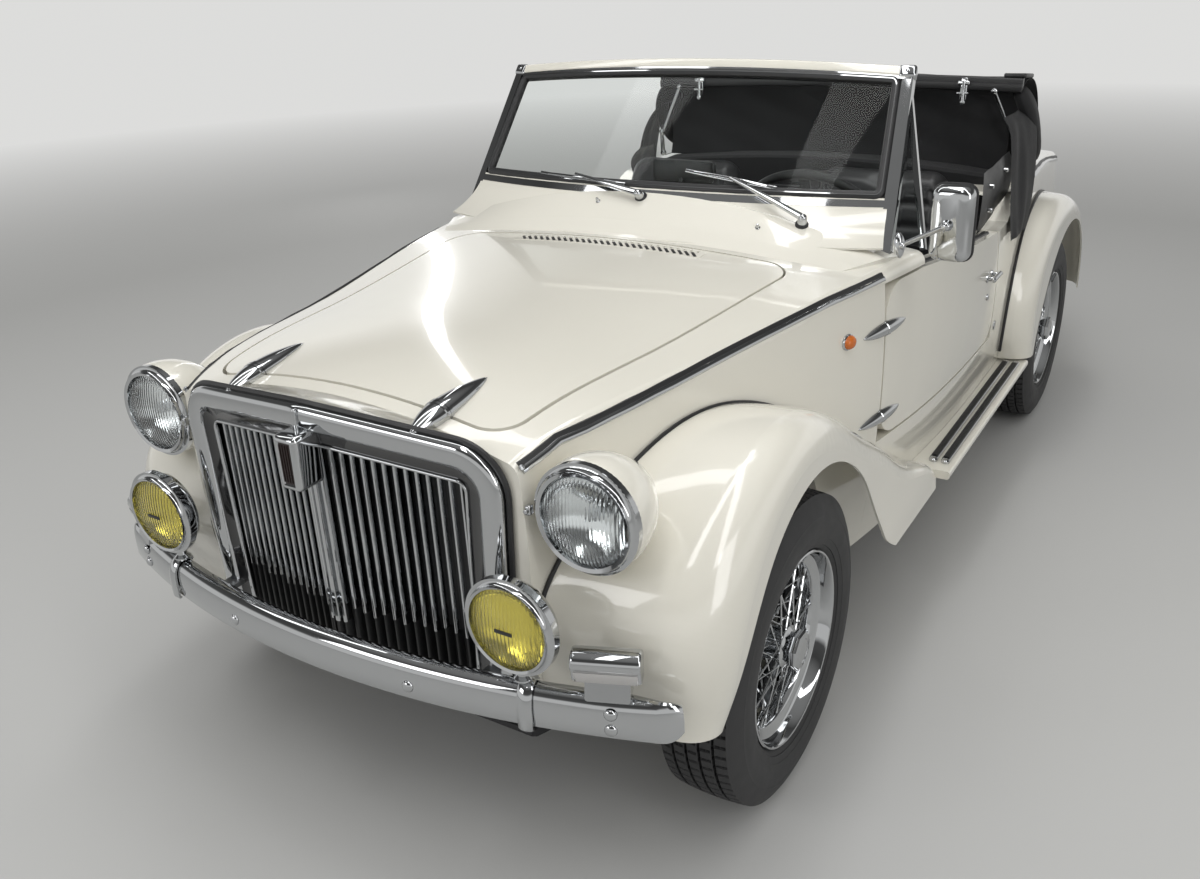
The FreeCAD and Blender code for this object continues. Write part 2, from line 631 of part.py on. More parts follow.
# Running boards between the fenders, with a turned-down outer edge and two tread strips.
board = box((540, mm("board_front_y"), mm("board_z") - mm("board_sheet")),
            (mm("board_outer_x"), mm("board_rear_y"), mm("board_z")))
board = rounded(board, 8, lambda edge: edge_along("y")(edge) and edge.BoundBox.XMin > 600)
tread_strips = []
for strip_x in (648, 676):
    tread_strips.append(box((strip_x - 5, mm("board_front_y") + 40, mm("board_z") - 1),
                            (strip_x + 5, mm("board_rear_y") - 50, mm("board_z") + 4)))
board = fused(board, *tread_strips)
board = board.cut([seat_skin, front_fender, rear_fender])
board = largest(board)
shaped("running_boards", pair(board))


# Grille: a V-shaped shell with thin upright bars.
def grille_outline(inset):
    """Front view of half the shell as points and arcs, closed on the centre plane."""
    half, foot = mm("grille_half") - inset, mm("grille_foot_half") - inset
    top, corner_top = mm("grille_top_z") - inset, mm("grille_side_top_z") - inset
    bottom = mm("grille_bottom_z") + inset * 0.6
    bend = max(mm("grille_corner") - inset, 14)

    def point(x, z):
        return Vector(x, 0, z)

    slope = math.atan2(top - corner_top, half - bend)
    top_end = point(half - bend + bend * math.sin(slope), corner_top)
    side_top = point(half, corner_top - bend * 1.05)
    middle = point(half - bend * 0.25, corner_top - bend * 0.27)
    wire = [Part.LineSegment(point(-foot, bottom), point(foot, bottom)),
            Part.LineSegment(point(foot, bottom), side_top), Part.Arc(side_top, middle, top_end),
            Part.LineSegment(top_end, point(0, top)),
            Part.LineSegment(point(0, top), point(-top_end.x, top_end.z)),
            Part.Arc(point(-top_end.x, top_end.z), point(-middle.x, middle.z), point(-side_top.x, side_top.z)),
            Part.LineSegment(point(-side_top.x, side_top.z), point(-foot, bottom))]
    return Part.Face(Part.Wire([edge.toShape() for edge in wire]))


def v_slab(front_in, back_y):
    """Plan of the V as a prism along Z, its front faces set back by front_in."""
    half = mm("grille_half")
    outline = [(-half, mm("grille_corner_y") + front_in), (0, mm("grille_ridge_y") + front_in),
               (half, mm("grille_corner_y") + front_in), (half, back_y), (-half, back_y)]
    return upright_prism(outline, 300, 900)


def grille_prism(inset):
    face = grille_outline(inset)
    face.translate(Vector(0, -1800, 0))
    return face.extrude(Vector(0, 400, 0))


grille_back_y = mm("nose_y") - SEAT
shell_frame = grille_prism(0).cut(grille_prism(mm("grille_rail")))
grille_shell = shell_frame.common(v_slab(0, grille_back_y))
BADGE_HALF, BADGE_PROUD, BADGE_Z = 23.0, 40.0, (690.0, 784.0)
badge = box((-BADGE_HALF, mm("grille_ridge_y") - BADGE_PROUD, BADGE_Z[0]),
            (BADGE_HALF, mm("grille_ridge_y") + 30, BADGE_Z[1]))
badge = rounded(badge, 9, lambda edge: edge.BoundBox.YMax < mm("grille_ridge_y"))
grille_shell = grille_shell.fuse(badge).removeSplitter()
shaped("grille_shell", grille_shell)

bar_space = grille_prism(mm("grille_rail") + SEAT).common(v_slab(10, grille_back_y)).cut(badge)
opening_half = mm("grille_half") - mm("grille_rail")
bars_a_side = int(mm("grille_bars_a_side"))
pitch = (opening_half - mm("centre_bar") / 2) / (bars_a_side + 0.6)
uprights = [box((-mm("centre_bar") / 2, -1800, 300), (mm("centre_bar") / 2, grille_back_y, 900))]
for index in range(bars_a_side):
    bar_x = mm("centre_bar") / 2 + pitch * (index + 0.8)
    for sign in (-1, 1):
        x = sign * bar_x
        uprights.append(box((x - mm("grille_bar") / 2, -1800, 300), (x + mm("grille_bar") / 2, grille_back_y, 900)))
thin_slab = v_slab(10, grille_back_y).cut(v_slab(22, 0))
carriers = []
for level in (mm("grille_bottom_z") + mm("grille_rail") * 0.6, 600):
    carriers.append(box((-WIDE, -1800, level), (WIDE, 0, level + 8)))
bar_solids = Part.makeCompound(uprights).common(bar_space).common(thin_slab)
behind_slab = v_slab(18, grille_back_y).cut(v_slab(24, 0))
carrier_solids = Part.makeCompound(carriers).common(bar_space).common(behind_slab)
rim_solid = grille_prism(mm("grille_rail") + SEAT).cut(grille_prism(mm("grille_rail") + 5)).common(behind_slab)
grille_bars = rim_solid.fuse([carrier_solids, bar_solids]).cut(badge).removeSplitter()
shaped("grille_bars", largest(grille_bars))


# Bumpers: blades bent from a wide arc and two tight end arcs, with a folded upper edge.
BLADE_TURN = 50.0
IRON_X, IRON_HALF, IRON_Z = 300.0, 16.0, (396.0, 404.0)


def blade_plan(front_y, depth_in, depth_out, facing):
    """Plan of a blade between two offsets of its line; facing is -1 for the front of the car."""
    bow, bend, end_x = mm("bumper_bow"), mm("bumper_bend"), mm("bumper_end_x")
    turn = math.radians(BLADE_TURN)
    sweep_half = math.asin((end_x - bend * math.sin(turn)) / (bow - bend))
    bow_centre = Vector(0, front_y - facing * bow, 0)
    join = Vector(bow * math.sin(sweep_half), bow_centre.y + facing * bow * math.cos(sweep_half), 0)
    bend_centre = join + Vector(-math.sin(sweep_half), -facing * math.cos(sweep_half), 0) * bend

    def on_bow(angle, inset):
        radius = bow - inset
        return bow_centre + Vector(math.sin(angle) * radius, facing * math.cos(angle) * radius, 0)

    def on_bend(angle, inset, side):
        radius = bend - inset
        spot = bend_centre + Vector(math.sin(angle) * radius, facing * math.cos(angle) * radius, 0)
        return Vector(side * spot.x, spot.y, 0)

    def run(inset):
        left_end = on_bend(turn, inset, -1)
        left_mid = on_bend((turn + sweep_half) / 2, inset, -1)
        left_join = on_bow(-sweep_half, inset)
        right_join = on_bow(sweep_half, inset)
        right_mid = on_bend((turn + sweep_half) / 2, inset, 1)
        right_end = on_bend(turn, inset, 1)
        return [Part.Arc(left_end, left_mid, left_join), Part.Arc(left_join, on_bow(0, inset), right_join),
                Part.Arc(right_join, right_mid, right_end)], left_end, right_end

    near, near_left, near_right = run(depth_in)
    far, far_left, far_right = run(depth_out)
    edges = [item.toShape() for item in near + far]
    edges += [Part.LineSegment(near_left, far_left).toShape(), Part.LineSegment(near_right, far_right).toShape()]
    return Part.Face(Part.Wire(Part.__sortEdges__(edges)))


def slab_of(face, low_z, high_z):
    face.translate(Vector(0, 0, low_z))
    return face.extrude(Vector(0, 0, high_z - low_z))


def bumper_blade(front_y, facing):
    """Upright blade whose top is folded back in two steps."""
    wall_in, depth = mm("bumper_sheet"), mm("bumper_depth")
    low, high = mm("bumper_bottom_z"), mm("bumper_top_z")
    wall = slab_of(blade_plan(front_y, 0, wall_in, facing), low, high - depth / 3)
    fold = slab_of(blade_plan(front_y, wall_in * 0.5, depth / 3, facing), high - depth / 3 - wall_in, high - wall_in)
    flange = slab_of(blade_plan(front_y, depth / 4, depth, facing), high - wall_in * 2, high)
    return fused(wall, fold, flange)


def overrider(front_y, facing):
    """Rounded upright horn on the blade."""
    x, tall, half = mm("overrider_x"), mm("overrider_height"), mm("overrider_width") / 2
    low = (mm("bumper_bottom_z") + mm("bumper_top_z") - tall) / 2
    start, end = sorted((front_y - facing * (mm("bumper_depth") - 4), front_y + facing * 9))
    block = box((x - half, start, low), (x + half, end, low + tall))
    return rounded(block, 8, lambda edge: edge_along("z")(edge) and facing * edge.BoundBox.YMin > facing * front_y)


bow_drop_at_overrider = mm("bumper_bow") - math.sqrt(mm("bumper_bow") ** 2 - mm("overrider_x") ** 2)


def bumper(front_y, facing, body_y):
    """Blade, overriders and irons to the body, joined as one piece. The rolled top narrows at its
    ends to clear the fenders."""
    blade = bumper_blade(front_y, facing)
    end_start, end_stop = sorted((facing * (abs(front_y) - 136), 0))
    end_room = box((540, end_start, 0), (WIDE, end_stop, 1000))
    blade = blade.cut([end_room, mirrored(end_room)])
    horn_y = front_y - facing * bow_drop_at_overrider
    horn = overrider(horn_y, facing)
    start, end = sorted((front_y - facing * 3, body_y))
    iron = box((IRON_X - IRON_HALF, start, IRON_Z[0]), (IRON_X + IRON_HALF, end, IRON_Z[1]))
    return fused(blade, horn, mirrored(horn), iron, mirrored(iron))


front_bumper = bumper(mm("bumper_y"), -1, mm("nose_y") - SEAT).cut([grille_shell, seat_skin])
shaped("front_bumper", largest(front_bumper))
rear_bumper = bumper(mm("rear_bumper_y"), 1, mm("tail_y") + SEAT).cut(seat_skin)
shaped("rear_bumper", largest(rear_bumper))


# Turn lamps on the bumper ends.
def turn_lamp():
    """Lamp box on a foot, standing on the rolled top of the blade and turned along it."""
    blade_top = mm("bumper_top_z")
    foot = box((-36, -16, blade_top + SEAT), (34, 8, blade_top + 34))
    head = rounded(box((-54, -24, blade_top + 28), (50, 14, blade_top + 82)), 18,
                   lambda edge: edge_along("x")(edge) and edge.BoundBox.YMax < 0)
    lamp = fused(foot, head)
    lamp.Placement = Placement(Vector(522, -1608, 0), Rotation(Vector(0, 0, 1), 22))
    return lamp


shaped("turn_lamps", pair(turn_lamp()))

# Head and fog lamps, turned about their own axes.
aim = Rotation(Vector(0, 0, 1), 90)


def lamp_place(prefix, sign):
    return Placement(Vector(sign * mm(prefix + "_x"), mm(prefix + "_y"), mm(prefix + "_z")), aim)


# Depth runs back from the front edge of the ring.
LAMP_PARTS = {
    "headlamp_shell": [("16", "0"), ("16", "headlamp_radius - 10"), ("30", "headlamp_radius - 4", 90),
                       ("headlamp_length * 0.6", "headlamp_radius * 0.75", 150),
                       ("headlamp_length * 0.87", "headlamp_radius * 0.44", 46), ("headlamp_length", "0")],
    "headlamp_rim": [("2", "headlamp_radius - 16"), ("0", "headlamp_radius - 10", 9),
                     ("12", "headlamp_radius"), ("28", "headlamp_radius"), ("28", "headlamp_radius - 3.5"),
                     ("15.5", "headlamp_radius - 9.5"), ("15.5", "headlamp_radius - 16")],
    "headlamp_lens": [("-3", "0", 420), ("8", "headlamp_radius - 17"), ("15.5", "headlamp_radius - 17"),
                      ("15.5", "0")],
    "fog_shell": [("14", "0"), ("14", "fog_radius - 8"), ("24", "fog_radius - 4", 70),
                  ("fog_length * 0.8", "fog_radius * 0.55", 60), ("fog_length", "0")],
    "fog_rim": [("2", "fog_radius - 13"), ("0", "fog_radius - 9", 8), ("10", "fog_radius"),
                ("23", "fog_radius"), ("23", "fog_radius - 3.5"), ("13.5", "fog_radius - 7.5"),
                ("13.5", "fog_radius - 13")],
    "fog_lens": [("0", "0", 380), ("7", "fog_radius - 14"), ("13.5", "fog_radius - 14"), ("13.5", "0")],
}
lamp_bodies = {}
for lamp_name, outline in LAMP_PARTS.items():
    lamp_bodies[lamp_name] = turned(lamp_name + "_master", outline)


def lamp_copies(lamp_name):
    """Left and right copies of a turned lamp piece, set at their places."""
    prefix = "headlamp" if lamp_name.startswith("headlamp") else "fog"
    copies = []
    for sign in (-1, 1):
        copy = lamp_bodies[lamp_name].Shape.copy()
        copy.Placement = lamp_place(prefix, sign)
        copies.append(copy.Solids[0].toNurbs())
    return copies


head_shells, fog_shells = lamp_copies("headlamp_shell"), lamp_copies("fog_shell")
head_bracket = rod((mm("headlamp_x") - 60, mm("headlamp_y") + 70, mm("headlamp_z") - 20),
                   (mm("headlamp_x") - 130, mm("headlamp_y") + 70, mm("headlamp_z") - 20), 14).cut(seat_skin)
overrider_top_z = (mm("bumper_bottom_z") + mm("bumper_top_z") + mm("overrider_height")) / 2
fog_post = rod((mm("fog_x"), mm("fog_y") + 34, overrider_top_z + SEAT),
               (mm("fog_x"), mm("fog_y") + 34, mm("fog_z") - mm("fog_radius") / 2), 8)
lamp_shells = []
for sign, head_shell, fog_shell in zip((-1, 1), head_shells, fog_shells):
    bracket = head_bracket if sign > 0 else mirrored(head_bracket)
    post = fog_post if sign > 0 else mirrored(fog_post)
    lamp_shells.append(largest(head_shell.fuse(bracket)))
    lamp_shells.append(largest(fog_shell.fuse(post)))
shaped("lamp_shells", Part.makeCompound(lamp_shells))
shaped("lamp_rims", Part.makeCompound(lamp_copies("headlamp_rim") + lamp_copies("fog_rim")))
shaped("headlamp_lenses", Part.makeCompound(lamp_copies("headlamp_lens")))
shaped("fog_lenses", Part.makeCompound(lamp_copies("fog_lens")))


# Windscreen: a bowed, leaning surface. across runs -1 to 1, up runs 0 at the foot to 1 at the header.
def screen_point(across, up, depth):
    """Point on the screen surface, 'depth' behind it."""
    foot_z, foot_bow, top_bow = 934.0, 104.0, 42.0
    side_foot = Vector(mm("screen_base_x"), -454, foot_z - 6)
    side_top = Vector(mm("screen_top_x"), mm("header_y") + top_bow, mm("screen_top_z"))
    edge = side_foot + (side_top - side_foot) * up
    bow = foot_bow + (top_bow - foot_bow) * up
    lift = 8 + (mm("header_z") - mm("screen_top_z") - 8) * up
    fall = 1 - across ** 2
    into = Vector(0, bow, -lift).normalize() * depth
    return Vector(edge.x * across, edge.y - bow * fall, edge.z + lift * fall) + into


def screen_band(across_low, across_high, up_low, up_high, front, back):
    """Solid between two levels and two sides of the screen."""
    wires = []
    for up in (up_low, up_high):
        middle = (across_low + across_high) / 2
        a, b, c = [screen_point(u, up, front) for u in (across_low, middle, across_high)]
        d, e, f = [screen_point(u, up, back) for u in (across_high, middle, across_low)]
        wires.append(Part.Wire([Part.Arc(a, b, c).toShape(), Part.LineSegment(c, d).toShape(),
                                Part.Arc(d, e, f).toShape(), Part.LineSegment(f, a).toShape()]))
    return Part.makeLoft(wires, True, True)


FRAME_SHARE = mm("pillar_width") / mm("screen_base_x")
frame_front, frame_back = -9.0, 13.0
glass = screen_band(-1 + FRAME_SHARE, 1 - FRAME_SHARE, 0.062, 0.905, -mm("glass_sheet") / 2, mm("glass_sheet") / 2)
frame_pieces = [screen_band(-1, 1, 0.0, 0.05, frame_front, frame_back),
                screen_band(-1, 1, 0.915, 1.0, frame_front, frame_back)]
for sign in (-1, 1):
    low_side, high_side = sorted((sign, sign * (1 - FRAME_SHARE * 0.8)))
    frame_pieces.append(screen_band(low_side, high_side, -0.42, 1.0, frame_front, frame_back))
quarter_foot = Vector(604, mm("scuttle_rear_y") + 6, 834)
quarter_top = screen_point(0.985, 0.82, 10)
quarter_post = bar(quarter_foot, quarter_top, 12, 16)
frame_pieces += [quarter_post, mirrored(quarter_post)]
windscreen_frame = fused(*frame_pieces).cut(glass)
windscreen_frame = windscreen_frame.cut(front_body)
shaped("windscreen_frame", largest(windscreen_frame))


def quarter_pane():
    """Triangular side pane between pillar and post."""
    a = screen_point(1.0, -0.28, 30) + Vector(0, 12, 0)
    b = screen_point(0.995, 0.66, 30)
    c = quarter_foot + Vector(-1, -14, 10)
    inward = Vector(-mm("glass_sheet"), 0, 0)
    pane = Part.Face(Part.makePolygon([a, b, c, a])).extrude(inward)
    return pane.cut([windscreen_frame, front_body])


panes = [glass, quarter_pane()]
shaped("windscreen_glass", Part.makeCompound([panes[0], largest(panes[1]), mirrored(largest(panes[1]))]))

# Wheels: one master of rim, hub, cap and crossed wire spokes. Local X points out of the car.
HUB_IN, HUB_OUT, CAP_OUT = -30.0, 52.0, 84.0
rim_outline = [("-rim_width / 2", "rim_radius"), ("-rim_width / 2 + 9", "rim_radius - 1"),
               ("-rim_width / 2 + 13", "bead_radius"), ("-rim_width / 4", "bead_radius"),
               ("-rim_width / 6", "bead_radius - 14"), ("rim_width / 6", "bead_radius - 14"),
               ("rim_width / 4", "bead_radius"), ("rim_width / 2 - 13", "bead_radius"),
               ("rim_width / 2 - 9", "rim_radius - 1"), ("rim_width / 2", "rim_radius"),
               ("rim_width / 2", "rim_radius - rim_wall"), ("rim_width / 2 - 7", "bead_radius - rim_wall"),
               ("rim_width / 4", "bead_radius - rim_wall"), ("rim_width / 6", "bead_radius - 14 - rim_wall"),
               ("-rim_width / 6", "bead_radius - 14 - rim_wall"), ("-rim_width / 4", "bead_radius - rim_wall"),
               ("-rim_width / 2 + 7", "bead_radius - rim_wall"), ("-rim_width / 2", "rim_radius - rim_wall")]
rim_master = turned("rim_master", rim_outline)
hub_outline = [(f"{HUB_IN}", "spindle_radius + running_fit"), (f"{HUB_IN}", "hub_radius + 8"),
               (f"{HUB_IN + 8}", "hub_radius + 8"), (f"{HUB_IN + 12}", "hub_radius"),
               (f"{HUB_OUT - 12}", "hub_radius"), (f"{HUB_OUT - 8}", "hub_radius + 3"), (f"{HUB_OUT}", "hub_radius + 3"),
               (f"{HUB_OUT}", "0"), (f"{HUB_OUT - 4}", "0"), (f"{HUB_OUT - 4}", "spindle_radius + running_fit")]
hub_master = turned("hub_master", hub_outline)


def spoke(rim_x, hub_x, hub_reach, start, sweep):
    """One wire from the rim's well to the hub, its hub end turned by 'sweep' degrees."""
    rim_r = mm("bead_radius") - 16
    a, b = math.radians(start), math.radians(start + sweep)
    return rod((rim_x, rim_r * math.cos(a), rim_r * math.sin(a)),
               (hub_x, hub_reach * math.cos(b), hub_reach * math.sin(b)), mm("spoke_radius"))


# rim_x and hub_x: where the wire ends along the axle. sweep: lead of the hub end in degrees.
SpokeRow = namedtuple("SpokeRow", "rim_x hub_x start sweep")
SPOKE_ROWS = [
    SpokeRow(14, HUB_OUT - 5, 0.0, 46),
    SpokeRow(14, HUB_OUT - 5, 7.5, -46),
    SpokeRow(-4, HUB_IN + 5, 15.0, 62),
    SpokeRow(-4, HUB_IN + 5, 22.5, -62),
]
sets = int(mm("spoke_sets"))
wires = []
for turn_index in range(sets):
    for row_data in SPOKE_ROWS:
        start_angle = turn_index * 360 / sets + row_data.start * 12 / sets
        wires.append(spoke(row_data.rim_x, row_data.hub_x, mm("hub_radius") + 1, start_angle, row_data.sweep))
cap_corners = []
for corner in range(9):
    angle = math.radians(corner * 45 + 22.5)
    cap_corners.append(Vector(HUB_OUT, mm("cap_radius") * math.cos(angle), mm("cap_radius") * math.sin(angle)))
cap = Part.Face(Part.makePolygon(cap_corners)).extrude(Vector(CAP_OUT - HUB_OUT - 10, 0, 0))
cap_boss = Part.makeCone(mm("cap_radius") * 0.72, mm("cap_radius") * 0.6, 10, Vector(CAP_OUT - 10, 0, 0), Vector(1, 0, 0))
wheel_shape = largest(rim_master.Shape.multiFuse([hub_master.Shape, cap, cap_boss] + wires))

tyre_outline = [("-rim_width / 2 + 12", "bead_radius + seat_gap"), ("-rim_width / 2 - seat_gap", "rim_radius + 1"),
                ("-tyre_width / 2", "(rim_radius + tyre_radius) / 2 - 6"),
                ("-tyre_width / 2 + 8", "tyre_radius - 14"), ("-tyre_width / 2 + 20", "tyre_radius - 3"),
                ("0", "tyre_radius"), ("tyre_width / 2 - 20", "tyre_radius - 3"),
                ("tyre_width / 2 - 8", "tyre_radius - 14"), ("tyre_width / 2", "(rim_radius + tyre_radius) / 2 - 6"),
                ("rim_width / 2 + seat_gap", "rim_radius + 1"), ("rim_width / 2 - 12", "bead_radius + seat_gap"),
                ("rim_width / 2 - 24", "bead_radius + 10"), ("0", "tyre_radius - 20"),
                ("-rim_width / 2 + 24", "bead_radius + 10")]
tyre_master = turned("tyre_master", tyre_outline)
tyre_shape = largest(tyre_master.Shape.cut(rim_master.Shape))

CORNERS = {
    "front_left": (mm("front_track") / 2, FRONT_AXLE_Y),
    "front_right": (-mm("front_track") / 2, FRONT_AXLE_Y),
    "rear_left": (mm("rear_track") / 2, REAR_AXLE_Y),
    "rear_right": (-mm("rear_track") / 2, REAR_AXLE_Y),
}
for corner_name, (corner_x, corner_y) in CORNERS.items():
    turn_round = Rotation(Vector(0, 0, 1), 0 if corner_x > 0 else 180)
    place = Placement(Vector(corner_x, corner_y, mm("tyre_radius")), turn_round)
    shaped(f"wheel_{corner_name}", wheel_shape, place)
    shaped(f"tyre_{corner_name}", tyre_shape, place)


# Knuckles: kingpin, stub axle and brake plate.
def stub_axle(centre_x, inner_x, hub_centre_y):
    axle_z = mm("tyre_radius")
    end_x = centre_x + HUB_OUT - 6
    return rod((inner_x, hub_centre_y, axle_z), (end_x, hub_centre_y, axle_z), mm("spindle_radius"))


def brake_plate(centre_x, hub_centre_y):
    axle_z = mm("tyre_radius")
    return rod((centre_x + HUB_IN - 16, hub_centre_y, axle_z), (centre_x + HUB_IN - 5, hub_centre_y, axle_z), 112)


axle_z = mm("tyre_radius")
pin_x = mm("kingpin_x")
front_x = mm("front_track") / 2
eye_low, eye_high, eye_tall = axle_z - 112, axle_z + 74, 24.0
kingpin = rod((pin_x, FRONT_AXLE_Y, eye_low), (pin_x, FRONT_AXLE_Y, eye_high + eye_tall), mm("kingpin_radius"))
upright = rod((pin_x, FRONT_AXLE_Y, eye_low + eye_tall + 1), (pin_x, FRONT_AXLE_Y, eye_high - 1), 27)
steer_arm = box((pin_x - 12, FRONT_AXLE_Y, axle_z - 20), (pin_x + 12, FRONT_AXLE_Y + 120, axle_z - 4))
knuckle = fused(kingpin, upright, steer_arm, stub_axle(front_x, pin_x, FRONT_AXLE_Y), brake_plate(front_x, FRONT_AXLE_Y))
shaped("knuckle_left", knuckle)
shaped("knuckle_right", mirrored(knuckle))


def eye(level):
    ring = rod((pin_x, FRONT_AXLE_Y, level), (pin_x, FRONT_AXLE_Y, level + eye_tall), 27)
    hole = rod((pin_x, FRONT_AXLE_Y, level - 1), (pin_x, FRONT_AXLE_Y, level + eye_tall + 1),
               mm("kingpin_radius") + mm("running_fit"))
    arm = box((230, FRONT_AXLE_Y - 13, level + 3), (pin_x - 10, FRONT_AXLE_Y + 13, level + eye_tall - 3))
    return ring.fuse(arm).cut(hole)


wall_x = mm("front_arch_x")
beam = box((-wall_x + 40, FRONT_AXLE_Y - 40, floor_low - 52), (wall_x - 40, FRONT_AXLE_Y + 40, floor_low - SEAT))
lower_eye, upper_eye = eye(eye_low), eye(eye_high)
lower_arm = fused(lower_eye, mirrored(lower_eye), beam)
upper_arm = upper_eye.cut(box((0, -2000, 0), (wall_x + SEAT, 0, 2000)))
shaped("front_suspension", Part.makeCompound([lower_arm, upper_arm, mirrored(upper_arm)]))

# Engine and gearbox block behind the rear axle line, with half shafts, arms and silencer.
engine = doc.addObject("Part::Box", "engine_block")
bind(engine, Length="440", Width="600", Height="340")
engine.setExpression("Placement.Base.x", "-220")
engine.setExpression("Placement.Base.y", cells("rear_axle_y - 40"))
engine.setExpression("Placement.Base.z", cells("floor_z + 55"))
doc.recompute()
node("engine_block", engine)
rear_x = mm("rear_track") / 2
half_shaft = fused(rod((220 + SEAT, REAR_AXLE_Y, axle_z), (rear_x - 70, REAR_AXLE_Y, axle_z), 22),
                   stub_axle(rear_x, rear_x - 72, REAR_AXLE_Y), brake_plate(rear_x, REAR_AXLE_Y),
                   bar((rear_x - 76, REAR_AXLE_Y + 10, axle_z - 30), (380, 600, floor_low - 28), 40, 26),
                   box((340, 540, floor_low - 42), (420, 640, floor_low - SEAT)))
shaped("rear_suspension", pair(half_shaft))
silencer = fused(rod((-190, 1500, 262), (190, 1500, 262), 52), rod((120, 1500, 226), (120, 1690, 226), 17),
                 rod((-150, 1500, 262), (-150, REAR_AXLE_Y + 560 + SEAT, 262), 17))
shaped("exhaust", silencer)

# Steering: column and wheel on the +X side.
tilt = math.radians(mm("column_tilt"))
column_way = Vector(0, math.cos(tilt), math.sin(tilt))
wheel_centre = Vector(mm("wheel_x"), mm("wheel_y"), mm("wheel_z"))
column_top = wheel_centre - column_way * 34
column_foot = wheel_centre - column_way * 470
column = Part.makeCylinder(22, (column_top - column_foot).Length - 4, column_foot, column_way)
wheel_master = doc.addObject("Part::Torus", "grip_master")
bind(wheel_master, Radius1="wheel_grip_radius", Radius2="wheel_grip")
doc.recompute()
grip = wheel_master.Shape.copy()
hub_disc = Part.makeCylinder(34, 26, Vector(0, 0, -30))
spokes = []
for way_degrees in (-90, 30, 150):
    away = Vector(math.cos(math.radians(way_degrees)), math.sin(math.radians(way_degrees)), 0)
    spokes.append(bar(tuple(away * 20 + Vector(0, 0, -16)), tuple(away * (mm("wheel_grip_radius"))), 26, 5,
                      side=(-away.y, away.x, 0)))
steering_wheel = fused(grip, hub_disc, *spokes)
face_driver = Rotation(Vector(0, 0, 1), column_way)
shaped("steering_wheel", steering_wheel, Placement(wheel_centre, face_driver))
shaped("steering_column", column)

# Dashboard: padded top roll and panel under the scuttle.
dash = across_prism([(-452, 700), (-428, 700), (-392, 880), (-396, 912), (-424, 925), (-424 - SEAT, 800), (-452, 790)], 540)
dash_space = Part.makeLoft([arch_section(row._replace(along=row.along + (60 if row is SCUTTLE[-1] else 0)),
                                         mm("top_wall") * 0.7 + SEAT, 600) for row in SCUTTLE], True, True)
dash = dash.common(dash_space).cut([column, front_body])
shaped("dashboard", largest(dash))


# Seats: cushion and backrest as one padded form each.
def seat():
    half = mm("seat_width") / 2
    cushion = rounded(box((-half, -330, floor_high + 60), (half, 140, 440)), 40, lambda edge: True)
    back_low, back_high = Vector(0, 110, 330), Vector(0, 215, mm("seat_top_z"))
    back = bar(tuple(back_low), tuple(back_high), mm("seat_width") - 10, 100)
    back = rounded(back, 36, lambda edge: True)
    legs = [box((sign * 170 - 15, -280, floor_high + SEAT), (sign * 170 + 15, 90, floor_high + 80)) for sign in (-1, 1)]
    return fused(cushion, back, *legs)


seat_shape = seat()
seat_pair = []
for sign in (-1, 1):
    placed = seat_shape.copy()
    placed.translate(Vector(sign * mm("seat_x"), 0, 0))
    seat_pair.append(placed)
shaped("seats", Part.makeCompound(seat_pair))

# Folded soft top standing behind the cockpit.
cloth_y = mm("cloth_front_y")
cloth_top = mm("cloth_top_z")
cloth_profile = [(cloth_y - 40, 800), (cloth_y + 330, 800), (cloth_y + 330, 872), (cloth_y + 300, 960),
                 (cloth_y + 190, 1050), (cloth_y + 60, cloth_top), (cloth_y - 10, cloth_top - 10), (cloth_y - 30, 1000)]
soft_top = across_prism(cloth_profile, mm("cloth_half") - 20)
soft_top = soft_top.cut(seat_skin)
shaped("soft_top", largest(soft_top))
stay_x = mm("cloth_half") - 8
stay = bar((stay_x, cloth_y - 40, 806), (stay_x, cloth_y - 30, cloth_top - 30), 12, 24)
stay = stay.cut([seat_skin])
front_rail = box((-mm("cloth_half"), cloth_y - 42, cloth_top - 48), (mm("cloth_half"), cloth_y - 16, cloth_top - 20))
top_frame = fused(largest(stay), mirrored(largest(stay)), front_rail).cut(soft_top)
shaped("soft_top_frame", Part.makeCompound(top_frame.Solids))


# Mirrors, wipers and tail lamps.
MIRROR_FOOT = ((566, -625, 838), (604, -555, 860))
MIRROR_HEAD = ((664, -622, 863), (744, -588, 1010))
COCKPIT_MIRROR = ((-50, -428, 945), (110, -408, 995))
WIPER_PIVOTS_X = (0, 380)
WIPER_REACH = Vector(-330, 15, 63)
TAIL_LAMPS_Z = (600, 520)


def side_mirror():
    """Door mirror of the driver's side: foot, arm and head."""
    arm = rod((590, -590, 850), (690, -605, 935), 7)
    foot = rounded(box(*MIRROR_FOOT), 8, edge_along("z"))
    head = rounded(box(*MIRROR_HEAD), 16, edge_along("y"))
    return fused(foot, arm, head)


mirror_head = rounded(box(*COCKPIT_MIRROR), 10, edge_along("y"))
mirror_stalk = rod((28, -418, 950), (28, -452, 925), 6).cut([front_body])
shaped("mirrors", Part.makeCompound([side_mirror().cut(front_body), fused(mirror_head, largest(mirror_stalk))]))

blades = []
for pivot_x in WIPER_PIVOTS_X:
    foot = Vector(pivot_x, -575, 905)
    tip = foot + WIPER_REACH
    blades.append(fused(rod(tuple(foot), tuple(foot + Vector(0, -8, 40)), 9),
                        rod(tuple(foot + Vector(0, -8, 32)), tuple(tip), 4)))
shaped("wipers", Part.makeCompound([largest(blade.cut(front_body)) for blade in blades]))

tail_lamp_solids = []
for lamp_z in TAIL_LAMPS_Z:
    lamp = rod((430, mm("tail_y") - 20, lamp_z), (430, mm("tail_y") + 26, lamp_z), 36).cut(seat_skin)
    tail_lamp_solids += [largest(lamp), mirrored(largest(lamp))]
shaped("tail_lamps", Part.makeCompound(tail_lamp_solids))

